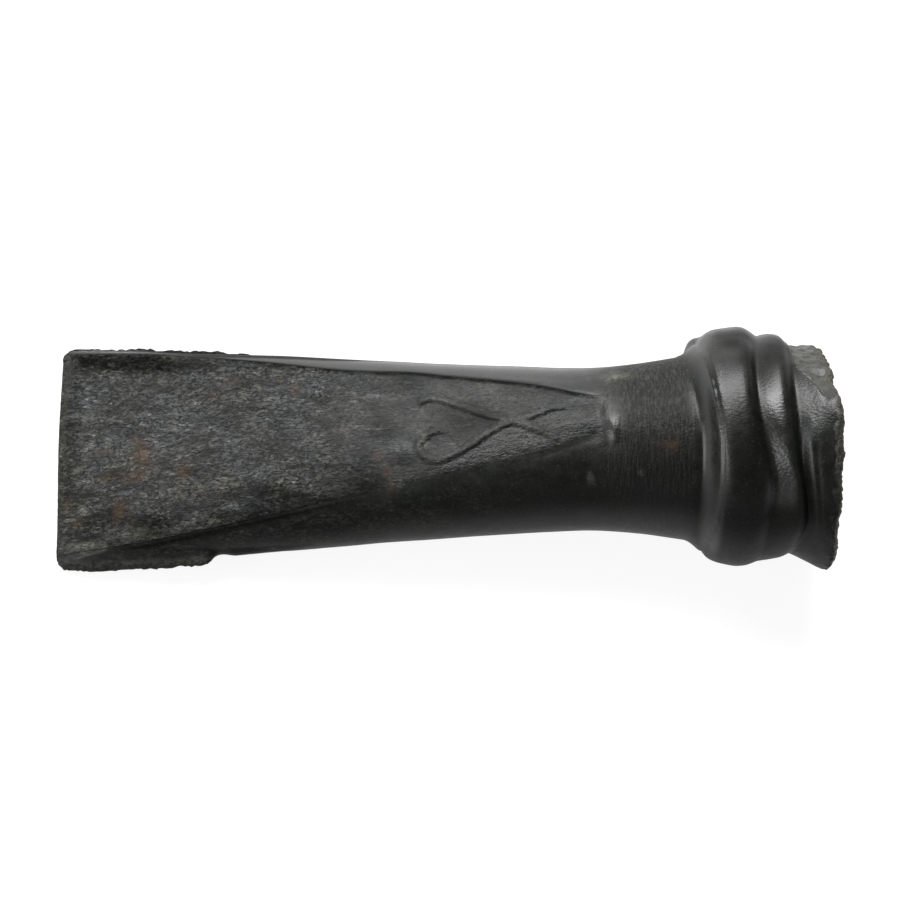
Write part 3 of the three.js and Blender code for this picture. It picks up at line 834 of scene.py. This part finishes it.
stretched = skin * np.array([0.5, 1.0, 1.0])
slanted = stretched + skin[..., [1, 0, 2]] * np.array([0.0, 0.12, 0.0])
ripples = 0.24 * uneven(skin, 9.0, 3.1) + 0.12 * uneven(slanted, 2.9, 7.7) + 0.1 * uneven(slanted, 1.25, 1.9)
smooth_waves = 0.1 * uneven(skin, 7.0, 5.3) + 0.012 * uneven(skin, 1.5, 2.2)
grains = 0.26 * uneven(skin, 0.75, 4.4) + 0.2 * uneven(skin, 0.42, 9.1)
height = on_facet * ripples * calmer + (1 - on_facet) * smooth_waves * 0.6
height = height * (1 - grit) + grit * grains
held_rows = fade(np.arange(rows), -1, 3)[:, None] * (1 - fade(np.arange(rows), rows - 8, rows - 3))[:, None]
height = height * held_rows     # the edge's slot and the pole of the socket's floor stay where they are
skin = skin + normals_of(skin) * height[..., None]
print("surface moves by", round(float(height.min()), 2), "to", round(float(height.max()), 2), "mm")

# %% [markdown]
# ## Spots of colour
#
# Earth in the ground left rusty spots, and corrosion left pale powdery ones. Noise alone would scatter them
# anywhere, so the larger ones are set by their places on the front, and noise only makes their outlines
# ragged.

# %% Rusty and pale spots, as x, y, reach along and across, and strength
def front_spots(spots):
    total = np.zeros((rows, columns))
    front = outside * (np.arange(columns) < front_total)
    ragged = np.clip(1 + 1.2 * uneven(skin, 1.4, 6.0) + 0.8 * uneven(skin, 0.6, 2.0), 0.3, None)
    for spot_x, spot_y, reach_along, reach_across, strength in spots:
        away = ((skin[..., 0] - spot_x) / reach_along) ** 2 + ((skin[..., 1] - spot_y) / reach_across) ** 2
        total = np.maximum(total, strength * np.exp(-away * ragged) * front)
    return total


ochre = front_spots([
    (13.3, -1.2, 1.1, 1.9, 1.0), (12.7, -4.8, 1.6, 0.9, 0.8), (19.8, -4.8, 0.9, 0.8, 0.9),
    (7.7, -4.6, 1.4, 0.9, 0.55), (10.3, -9.9, 1.1, 1.6, 0.6), (7.7, -0.1, 1.5, 0.9, 0.4),
    (3.8, -11.9, 0.8, 0.9, 0.45), (2.2, -8.7, 0.5, 0.9, 0.5), (34.2, 9.9, 0.9, 0.6, 0.6),
    (36.6, 8.2, 0.8, 1.0, 0.6), (49.3, -4.3, 0.5, 0.7, 0.6), (50.5, -6.5, 0.6, 0.9, 0.5),
    (51.1, -8.5, 0.35, 1.6, 0.5), (92.7, -5.2, 1.1, 0.7, 0.5), (26.7, 10.3, 1.6, 0.5, 0.35),
    (24.0, 7.8, 1.2, 0.7, 0.3),
])
pale = front_spots([
    (33.6, 11.2, 1.0, 0.5, 0.7), (56.0, -1.7, 0.6, 1.3, 0.5), (62.1, 4.6, 1.2, 0.5, 0.3),
    (88.2, -8.6, 0.3, 0.3, 0.7), (85.1, 7.2, 2.4, 0.9, 0.9), (80.9, -8.7, 0.4, 0.4, 0.5),
    (4.8, -15.7, 2.6, 0.7, 0.9), (12.5, -14.4, 4.5, 0.9, 0.35), (84.0, -3.5, 0.5, 0.5, 0.5),
    (48.0, 6.0, 0.4, 0.25, 0.4),
])
print("ochre spots cover", round(float((ochre > 0.2).mean()), 4), "of the grid")
print("pale spots cover", round(float((pale > 0.2).mean()), 4), "of the grid")

# %% [markdown]
# ## From grid to closed shell
#
# Blender's grid operator makes the flat grid. Its vertices then take their places from the arrays above,
# the two long sides are welded into a seam, and so is the last row, which is the pole of the socket's
# floor. Only the thin slot at the cutting edge is still open, so it is filled and cut into triangles. At
# the end the faces are turned to point outwards.

# %% Masks that the skin keeps
cast_masks = {
    "facet": on_facet * calmer,
    "pitted": pitted,
    "dull_and_shade": dull_and_shade,
    "dust_and_sheen": dust_and_sheen,
    "folded": folded,
    "streaked": streaked,
    "earthy": np.broadcast_to(1.0 - outside, (rows, columns)),
    "grit": grit,
    "neck": neck,
    "polished": polished,
    "ochre": ochre,
    # The broken face takes the pale colour too: its own stony colour, and painted light where the face
    # stands lit from above.
    "pale": np.maximum(pale, 0.45 * broken_face),
}
print("the skin keeps", len(cast_masks), "masks")

# %% Roll a grid up into the casting's skin
def rolled_grid(name, skin, masks):
    """A closed shell from rows and columns of casting millimetres, with a point attribute per mask."""
    rows, columns = skin.shape[:2]
    shell = bmesh.new()
    bmesh.ops.create_grid(shell, x_segments=rows - 1, y_segments=columns, size=0.5)
    layers = {mask: shell.verts.layers.float.new(mask) for mask in masks}
    for vertex in shell.verts:
        row = round((vertex.co.x + 0.5) * (rows - 1))
        column = round((vertex.co.y + 0.5) * columns) % columns
        vertex.co = skin[row, column]
        for mask, layer in layers.items():
            vertex[layer] = masks[mask][row, column]
    bmesh.ops.remove_doubles(shell, verts=shell.verts, dist=0.0005)
    open_edges = [edge for edge in shell.edges if edge.is_boundary]
    if open_edges:
        lid = bmesh.ops.holes_fill(shell, edges=open_edges, sides=0)["faces"]
        bmesh.ops.triangulate(shell, faces=lid)
    bmesh.ops.transform(shell, matrix=to_row, verts=shell.verts)
    bmesh.ops.recalc_face_normals(shell, faces=shell.faces)
    for face in shell.faces:
        face.smooth = True
    loose = sum(not edge.is_manifold for edge in shell.edges)
    mesh = bpy.data.meshes.new(name)
    shell.to_mesh(mesh)
    shell.free()
    piece = bpy.data.objects.new(name, mesh)
    bpy.context.scene.collection.objects.link(piece)
    triangles = sum(len(face.vertices) - 2 for face in mesh.polygons)
    print(name, len(mesh.vertices), "vertices,", triangles, "triangles,", loose, "open edges")
    return piece


cast_skin = rolled_grid("cast_skin", skin, cast_masks)
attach(cast_skin, "root")
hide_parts("axe_casting")

# %% [markdown]
# ## What is left of the clay core
#
# The founders dug most of the core out and left the end of it in the socket. It is baked earth with a
# broken, crumbly top, and it shows only to someone who looks into the mouth. It could be a plain plug, but
# then its sides would not follow the socket. It fills the socket's section with a hairline gap, so it comes
# from the same section formula, with its own coarse surface.

# %% Sides and bottom of the clay
gap = 0.3
core_length = 19
core_top = socket_floor + core_length
core_break = 2.6            # height of the broken top
core_broken = curve_through([
    (0, 0.3), (0.12, 0.9), (0.22, 0.55), (0.35, 1), (0.47, 0.4), (0.6, 0.1), (0.74, 0.5), (0.86, 0.05),
    (1, 0.3),
])
core_turn = spaced(0, 2 * math.pi, 96)
side_x = np.linspace(socket_floor + gap + floor_rounding, core_top, 34)[:, None]
core_wide, core_thick = socket_oval(side_x)
rim_drop = core_break * (1 - core_broken(core_turn / (2 * math.pi)))
side_x = side_x - rim_drop * fade(side_x, core_top - 8, core_top)
side = np.stack([
    side_x, (core_wide - gap) * np.cos(core_turn), (core_thick - gap) * np.sin(core_turn)], axis=2)
low = side[0]
bottom = np.stack([np.array([socket_floor + gap, 0, 0]) + (low - [low[0, 0], 0, 0]) * [0, share, share]
                   for share in (0, 0.3, 0.6, 0.85)])
print("clay is", round(float(2 * core_wide[-1, 0]), 1), "mm wide at its top")

# %% Broken top of the clay, and the whole plug
shares = np.linspace(1, 0, 18)[1:, None]
top_x = side[-1][:, 0] * shares + (core_top - core_break / 2) * (1 - shares)
broken_top = np.stack([top_x, side[-1][:, 1] * shares, side[-1][:, 2] * shares], axis=2)
clay = np.concatenate([bottom, side, broken_top])
crumbs = 1.3 * uneven(clay, 2.6, 8.2) + 0.7 * uneven(clay, 1.1, 3.3)
side_end = len(bottom) + len(side)
on_top = fade(np.arange(len(clay)), side_end - 2, side_end + 1)[:, None]
clay[..., 0] += np.where(np.arange(len(clay))[:, None] < len(clay) - 1, crumbs * on_top, 0)
squeeze = 1 - 0.05 * np.clip(uneven(clay, 1.8, 1.2) + 0.3, 0, 1) * (1 - on_top)
clay[..., 1:] *= squeeze[..., None]
clay_plug = rolled_grid("clay_plug", clay, {})
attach(clay_plug, "root")
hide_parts("clay_core")

# %% [markdown]
# ## Materials
#
# Both materials read Object coordinates. A Mapping node turns them into casting millimetres, so that one
# unit of a texture is one millimetre and its x runs along the head. Generated coordinates would stretch a
# texture with the piece's box, and its grain would no longer have a size that we can name.

# %% Helpers that start a material
def start_material(name):
    material = bpy.data.materials.new(name)
    material.use_nodes = True
    tree = material.node_tree
    tree.nodes.clear()
    output = tree.nodes.new("ShaderNodeOutputMaterial")
    shader = tree.nodes.new("ShaderNodeBsdfPrincipled")
    tree.links.new(shader.outputs["BSDF"], output.inputs["Surface"])
    return material, tree, shader


def casting_millimetres(tree, scale=(1, 1, 1)):
    """Casting coordinates; a scale below 1 along an axis stretches a texture along it."""
    place = tree.nodes.new("ShaderNodeTexCoord")
    turned = tree.nodes.new("ShaderNodeMapping")
    turned.inputs["Rotation"].default_value = (0, tilt, 0)
    tree.links.new(place.outputs["Object"], turned.inputs["Vector"])
    scaled = tree.nodes.new("ShaderNodeMapping")
    scaled.inputs["Scale"].default_value = [1000 * share for share in scale]
    tree.links.new(turned.outputs["Vector"], scaled.inputs["Vector"])
    return scaled.outputs["Vector"]


patina, tree, shader = start_material("dark_patina")
place = casting_millimetres(tree)
print("textures are turned by", round(math.degrees(tilt), 2), "degrees and measured in millimetres")

# %% Helpers for textures and colours, and the two coarsest textures
def noise_of(tree, vector, size, detail=4.0, roughness=0.55, distortion=0.0):
    """A noise texture whose waves are about that many units long."""
    texture = tree.nodes.new("ShaderNodeTexNoise")
    texture.inputs["Scale"].default_value = 1 / size
    texture.inputs["Detail"].default_value = detail
    texture.inputs["Roughness"].default_value = roughness
    texture.inputs["Distortion"].default_value = distortion
    tree.links.new(vector, texture.inputs["Vector"])
    return texture.outputs["Fac"]


def between(tree, value, low, high, out_low=0.0, out_high=1.0):
    """A value from low to high, brought to the range from out_low to out_high."""
    node = tree.nodes.new("ShaderNodeMapRange")
    node.inputs["From Min"].default_value = low
    node.inputs["From Max"].default_value = high
    node.inputs["To Min"].default_value = out_low
    node.inputs["To Max"].default_value = out_high
    tree.links.new(value, node.inputs["Value"])
    return node.outputs["Result"]


def mixed(tree, share, first, second):
    """A colour between two colours; each is a socket or plain numbers."""
    node = tree.nodes.new("ShaderNodeMix")
    node.data_type = "RGBA"
    tree.links.new(share, node.inputs["Factor"])
    for socket, value in ((node.inputs["A"], first), (node.inputs["B"], second)):
        if isinstance(value, tuple):
            socket.default_value = (*value, 1)
        else:
            tree.links.new(value, socket)
    return node.outputs["Result"]


cloud_size = 9.0
mottle_size = 1.6
cloud = noise_of(tree, place, cloud_size, 3.0)
mottle = noise_of(tree, place, mottle_size, 6.0, 0.65)
print("clouds of", cloud_size, "mm and mottling of", mottle_size, "mm")

# %% [markdown]
# ### Dark patina
#
# Centuries in the ground turned the bronze almost black with a green cast. It is a mineral skin on the
# metal, so it shines like a dark stone. A metallic shader would mirror the room as bare metal does, so we
# use a plain dielectric one with a low specular level. Its ground colour is two near blacks, mottled at the
# scale of a millimetre or two, with teal clouds about a centimetre across where the skin is thickest.

# %% Ground colour of the patina
near_black = (0.0032, 0.0038, 0.0031)
dark_grey = (0.0085, 0.009, 0.0075)
teal = (0.003, 0.0085, 0.0065)
colour = mixed(tree, between(tree, mottle, 0.35, 0.7), near_black, dark_grey)
colour = mixed(tree, between(tree, cloud, 0.52, 0.72, 0, 0.45), colour, teal)
print("ground colour takes", len(tree.nodes), "nodes")

# %% Reading the skin's masks, and darkening the dull parts and the painted shade
def attribute_of(tree, name):
    node = tree.nodes.new("ShaderNodeAttribute")
    node.attribute_name = name
    return node.outputs["Fac"]


def calculate(tree, operation, first, second):
    node = tree.nodes.new("ShaderNodeMath")
    node.operation = operation
    for socket, value in zip(node.inputs, (first, second)):
        if isinstance(value, (int, float)):
            socket.default_value = value
        else:
            tree.links.new(value, socket)
    return node.outputs["Value"]


dull_and_shade_black = (0.0014, 0.0015, 0.0013)
facet_mask, grit_mask = attribute_of(tree, "facet"), attribute_of(tree, "grit")
pitted_mask, dull_and_shade_mask = attribute_of(tree, "pitted"), attribute_of(tree, "dull_and_shade")
# Painted shade: where the dull mask carries shade, this mix darkens the colour towards near black.
colour = mixed(tree, calculate(tree, "MULTIPLY", dull_and_shade_mask, 0.8), colour, dull_and_shade_black)
mask_names = [attribute.name for attribute in cast_skin.data.attributes if attribute.name in cast_masks]
print("masks on the skin:", mask_names)

# %% [markdown]
# ### Dust with painted sheen, painted shade in the folds, and painted glints
#
# Pale mineral dust clings to the facets, and its colour also paints the sheen that light gives their grainy
# skin.
# It lies in fine grains, thicker in some bands than in others, and near the cutting edge it is broken by the
# fine folds of a leathery skin, where it thins to paint shade into the folds. One noise can't hold these
# three scales,
# so we multiply three: grains of 0.4 mm, bands of 2 mm, and folds, which are the thin lines where a third
# noise passes through its middle value. Small bright flecks, which are painted glints, follow the same bands
# and folds.

# %% Dust with painted sheen, painted shade in the folds, and painted glints
olive_dust_and_sheen = (0.0445, 0.0425, 0.0345)
bluish_dust_and_sheen = (0.0395, 0.0415, 0.0435)
glint_colour = (0.13, 0.13, 0.118)
dust_and_sheen_mask, folded_mask = attribute_of(tree, "dust_and_sheen"), attribute_of(tree, "folded")
lengthwise = casting_millimetres(tree, (0.5, 1.0, 1.0))
grain = noise_of(tree, casting_millimetres(tree, (0.55, 1.0, 1.0)), 0.38, 3.0, 0.6)
bands = noise_of(tree, casting_millimetres(tree, (0.4, 1.0, 1.0)), 1.9, 3.0, 0.6)
wrinkles = noise_of(tree, lengthwise, 0.95, 3.0, 0.6, 0.3)
from_fold = calculate(tree, "ABSOLUTE", calculate(tree, "SUBTRACT", wrinkles, 0.5), 0.0)
folds = between(tree, from_fold, 0.0, 0.07)
# Painted shade: the dust and the glints thin out along the fold lines.
fold_shade = calculate(tree, "MULTIPLY", folded_mask, between(tree, folds, 0, 1, -0.4, 0.82))
fold_shade = calculate(tree, "ADD", fold_shade, 1.0)
dust_and_sheen_share = calculate(tree, "MULTIPLY", dust_and_sheen_mask, between(tree, grain, 0.41, 0.61, 0.0, 1.0))
dust_and_sheen_share = calculate(tree, "MULTIPLY", dust_and_sheen_share, between(tree, bands, 0.36, 0.64, 0.15, 1.3))
dust_and_sheen_share = calculate(tree, "MULTIPLY", dust_and_sheen_share, fold_shade)
tint = noise_of(tree, place, 6.0, 2.0)
dust_and_sheen_colour = mixed(tree, between(tree, tint, 0.4, 0.6), olive_dust_and_sheen, bluish_dust_and_sheen)
colour = mixed(tree, dust_and_sheen_share, colour, dust_and_sheen_colour)
# Painted glints: small bright flecks stand in for light caught by tiny facets of the skin.
glint_noise = noise_of(tree, lengthwise, 0.5, 3.0, 0.7)
painted_glints = calculate(tree, "MULTIPLY", dust_and_sheen_mask, between(tree, glint_noise, 0.57, 0.7, 0.0, 0.9))
painted_glints = calculate(tree, "MULTIPLY", painted_glints, between(tree, bands, 0.4, 0.62, 0.1, 1.0))
painted_glints = calculate(tree, "MULTIPLY", painted_glints, fold_shade)
colour = mixed(tree, painted_glints, colour, glint_colour)
print("with its dust the patina has", len(tree.nodes), "nodes")

# %% [markdown]
# ### Streaks, grit, earth and rust
#
# On the neck dust has caught in fine streaks across the head, left by wiping. The granular edges are olive,
# earth still lines the socket, and the spots from above are rusty or pale. Each is a thin layer over the
# ones before it, so one helper lays a colour on where a mask of the skin and a texture both allow it.

# %% Layers laid over the patina
def laid_over(tree, colour, mask, texture, texture_range, strength_range, layer_colour):
    strength = between(tree, texture, *texture_range, *strength_range)
    return mixed(tree, calculate(tree, "MULTIPLY", attribute_of(tree, mask), strength), colour, layer_colour)


across_head = noise_of(tree, casting_millimetres(tree, (1.6, 0.35, 0.35)), 0.42, 4.0, 0.65)
lumps = noise_of(tree, place, 0.55, 2.0, 0.5)
speck = noise_of(tree, place, 0.28, 2.0, 0.5)
speck_colour = (0.04, 0.04, 0.033)
colour = laid_over(tree, colour, "streaked", across_head, (0.46, 0.64), (0.0, 0.9), (0.025, 0.0246, 0.0215))
colour = mixed(tree, between(tree, speck, 0.62, 0.72, 0, 0.4), colour, speck_colour)
colour = laid_over(tree, colour, "grit", lumps, (0.38, 0.62), (0.1, 1), (0.024, 0.024, 0.019))
colour = laid_over(tree, colour, "earthy", cloud, (0.35, 0.6), (0.25, 0.9), (0.06, 0.05, 0.038))
colour = laid_over(tree, colour, "ochre", grain, (0.3, 0.65), (0.3, 1), (0.058, 0.031, 0.0155))
colour = laid_over(tree, colour, "pale", grain, (0.38, 0.62), (0.2, 0.75), (0.115, 0.115, 0.09))
tree.links.new(colour, shader.inputs["Base Color"])
print("with all its layers the patina has", len(tree.nodes), "nodes")

# %% [markdown]
# ### Gloss
#
# The smooth sides and the collar have the soft shine of a handled stone. Pits, grit and dull parts scatter
# it, and the places that fingers reach shine more. The dull parts, where loose corrosion covers the skin
# and where shade is painted, also reflect less, so roughness and specular level both follow the masks.

# %% Roughness and specular level
polished_mask = attribute_of(tree, "polished")
banded_shine = between(tree, bands, 0.35, 0.65, 0.06, -0.08)
roughness = between(tree, mottle, 0.3, 0.75, 0.27, 0.38)
for mask, effect in ((pitted_mask, 0.06), (dull_and_shade_mask, 0.28), (facet_mask, banded_shine), (grit_mask, 0.3)):
    roughness = calculate(tree, "ADD", roughness, calculate(tree, "MULTIPLY", mask, effect))
roughness = calculate(tree, "SUBTRACT", roughness, calculate(tree, "MULTIPLY", polished_mask, 0.08))
tree.links.new(roughness, shader.inputs["Roughness"])
gleam = calculate(
    tree, "MULTIPLY", between(tree, facet_mask, 0, 1, 0.3, 0.27), between(tree, dull_and_shade_mask, 0, 1, 1.0, 0.1))
gleam = calculate(tree, "ADD", gleam, calculate(tree, "MULTIPLY", polished_mask, 0.3))
tree.links.new(gleam, shader.inputs["Specular IOR Level"])
print("with its gloss the patina has", len(tree.nodes), "nodes")

# %% [markdown]
# ### Fine relief
#
# Forms finer than half a millimetre are too small for the mesh, so they are bump: ripples and folds on the
# facets, close round pits, wiping marks across the neck, and a fine roughness that is strongest on the
# grit. Each bump node takes the normal of the one before it, so that their depths can be set apart, in
# metres.

# %% Bumps, from the coarsest to the finest
def bumped(tree, height, distance, before=None):
    node = tree.nodes.new("ShaderNodeBump")
    node.inputs["Distance"].default_value = distance
    tree.links.new(height, node.inputs["Height"])
    if before is not None:
        tree.links.new(before, node.inputs["Normal"])
    return node.outputs["Normal"]


facet_ripples = noise_of(tree, lengthwise, 0.62, 4.0, 0.65)
cells = tree.nodes.new("ShaderNodeTexVoronoi")
cell_size = 0.36
cells.inputs["Scale"].default_value = 1 / cell_size
tree.links.new(casting_millimetres(tree, (0.6, 1.0, 1.0)), cells.inputs["Vector"])
round_pits = cells.outputs["Distance"]
wiping = noise_of(tree, casting_millimetres(tree, (2.2, 0.3, 0.3)), 1.0, 2.0, 0.5)
fine = noise_of(tree, place, 0.4, 2.0, 0.5)
normal = bumped(tree, calculate(tree, "MULTIPLY", facet_ripples, facet_mask), 0.0006)
normal = bumped(tree, calculate(tree, "MULTIPLY", folds, folded_mask), 0.00013, normal)
normal = bumped(tree, calculate(tree, "MULTIPLY", round_pits, pitted_mask), 0.00005, normal)
normal = bumped(tree, calculate(tree, "MULTIPLY", wiping, attribute_of(tree, "neck")), 0.00014, normal)
fine_share = between(tree, grit_mask, 0, 1, 0.04, 1.0)
normal = bumped(tree, calculate(tree, "MULTIPLY", fine, fine_share), 0.0003, normal)
tree.links.new(normal, shader.inputs["Normal"])
cast_skin.data.materials.append(patina)
print("patina has", len(tree.nodes), "nodes")

# %% [markdown]
# ### Baked clay
#
# The clay was baked hard and grey-brown by the metal. It is matt, with sandy grains and darker soot
# patches. A flat brown would look like plastic, so one noise makes the soot and a finer one the sand and
# its bump.

# %% Clay
sooty_brown = (0.10, 0.065, 0.042)
baked_brown = (0.24, 0.17, 0.115)
sand_colour = (0.40, 0.34, 0.26)
baked_clay, tree, shader = start_material("baked_clay")
place = casting_millimetres(tree)
earth = noise_of(tree, place, 3.0, 5.0, 0.6)
sand = noise_of(tree, place, 0.3, 3.0, 0.7)
colour = mixed(tree, between(tree, earth, 0.35, 0.65), sooty_brown, baked_brown)
colour = mixed(tree, between(tree, sand, 0.62, 0.75, 0, 0.7), colour, sand_colour)
tree.links.new(colour, shader.inputs["Base Color"])
tree.links.new(between(tree, sand, 0.3, 0.7, 0.85, 0.98), shader.inputs["Roughness"])
shader.inputs["Specular IOR Level"].default_value = 0.2
tree.links.new(bumped(tree, sand, 0.0003), shader.inputs["Normal"])
clay_plug.data.materials.append(baked_clay)
print("clay has", len(tree.nodes), "nodes")

# %% [markdown]
# ## Floor
#
# The picture shows the head on pure white. A photographer sweeps a sheet of white paper up behind the
# object, so that no horizon shows. Here it is a square whose four edges are turned up, so it works from
# every side. A bare white floor would come out grey where the light falls off, and more light would bleach
# the head. So the paper has a little light of its own, which only camera, mirror and glass rays see: it
# turns white in the picture and still takes the head's shadow.

# %% Sheet of paper with turned-up edges
sheet_half_width = 3        # metres
edge_height = 0.45
edge_lean = 0.1             # the edges lean outwards by this share of the half width
sheet = bmesh.new()
bmesh.ops.create_grid(sheet, x_segments=1, y_segments=1, size=sheet_half_width)
raised = bmesh.ops.extrude_edge_only(sheet, edges=list(sheet.edges))["geom"]
for corner in [part for part in raised if isinstance(part, bmesh.types.BMVert)]:
    corner.co += Vector((corner.co.x * edge_lean, corner.co.y * edge_lean, edge_height))
bmesh.ops.recalc_face_normals(sheet, faces=sheet.faces)
floor_mesh = bpy.data.meshes.new("floor")
sheet.to_mesh(floor_mesh)
sheet.free()
floor = bpy.data.objects.new("floor", floor_mesh)
bpy.context.scene.collection.objects.link(floor)
print("floor is", round(floor.dimensions.x, 1), "m wide with its edges")

# %% White paper
def seen_directly(tree):
    """1 for rays from the camera and for those in a mirror or glass."""
    rays = tree.nodes.new("ShaderNodeLightPath")
    total = calculate(tree, "MAXIMUM", rays.outputs["Is Camera Ray"], rays.outputs["Is Glossy Ray"])
    return calculate(tree, "MAXIMUM", total, rays.outputs["Is Transmission Ray"])


glow_share = 0.78
glow_strength = 1.14
paper, tree, shader = start_material("white_paper")
shader.inputs["Base Color"].default_value = (0.86, 0.86, 0.86, 1)
shader.inputs["Roughness"].default_value = 1.0
shader.inputs["Specular IOR Level"].default_value = 0.0
glow = tree.nodes.new("ShaderNodeEmission")
glow.inputs["Strength"].default_value = glow_strength
paper_or_glow = tree.nodes.new("ShaderNodeMixShader")
tree.links.new(calculate(tree, "MULTIPLY", seen_directly(tree), glow_share), paper_or_glow.inputs["Fac"])
tree.links.new(shader.outputs["BSDF"], paper_or_glow.inputs[1])
tree.links.new(glow.outputs["Emission"], paper_or_glow.inputs[2])
tree.links.new(paper_or_glow.outputs["Shader"], tree.nodes["Material Output"].inputs["Surface"])
floor_mesh.materials.append(paper)
print("paper glows at", glow_strength, "in", glow_share, "of what the camera sees of it")

# %% [markdown]
# ## World and lights
#
# The room is dim and white, so that shadows are not black. The main light is a large soft box above the
# front facet and towards the upper side. It is mirrored in the facets and along the collar. A weaker one
# beyond the upper side draws the bright strip along it, and a third, low on the left, lights the flanks
# that face the cutting edge: the fillet, the small ring and the shoulder. A sun lamp would be simpler, but
# its highlights are small and hard, and the picture's are long and soft.

# %% World
room_strength = 0.12
world = bpy.data.worlds.new("white_room")
bpy.context.scene.world = world
world.use_nodes = True
background = world.node_tree.nodes["Background"]
background.inputs["Color"].default_value = (1, 1, 1, 1)
background.inputs["Strength"].default_value = room_strength
print("world is an even white of strength", room_strength)

# %% Soft boxes: direction in the casting's axes, distance, width and height in metres, and radiance
def soft_box(name, direction, distance, wide, high, radiance):
    lamp = bpy.data.lights.new(name, "AREA")
    lamp.shape = "RECTANGLE"
    lamp.size = wide
    lamp.size_y = high
    lamp.energy = radiance * math.pi * wide * high
    light = bpy.data.objects.new(name, lamp)
    towards = (turn_to_row @ Vector(direction)).normalized()
    facing = towards.to_track_quat("Z", "Y").to_matrix().to_4x4()
    light.matrix_world = Matrix.Translation(aim + towards * distance) @ facing
    bpy.context.scene.collection.objects.link(light)
    print(name, "at", [round(v, 2) for v in light.location], "power", round(lamp.energy, 2), "W")


soft_box("main_soft_box", (-0.12, 0.52, 0.85), 0.6, 0.6, 0.34, 12.5)
soft_box("rim_soft_box", (0.1, 0.94, 0.34), 0.7, 0.9, 0.5, 1.5)
soft_box("left_soft_box", (-0.75, -0.38, 0.54), 0.7, 0.6, 0.3, 6.0)

# %% [markdown]
# ## Look
#
# The Standard view shows a colour about as it is written.

# %% View
bpy.context.scene.view_settings.view_transform = "Standard"
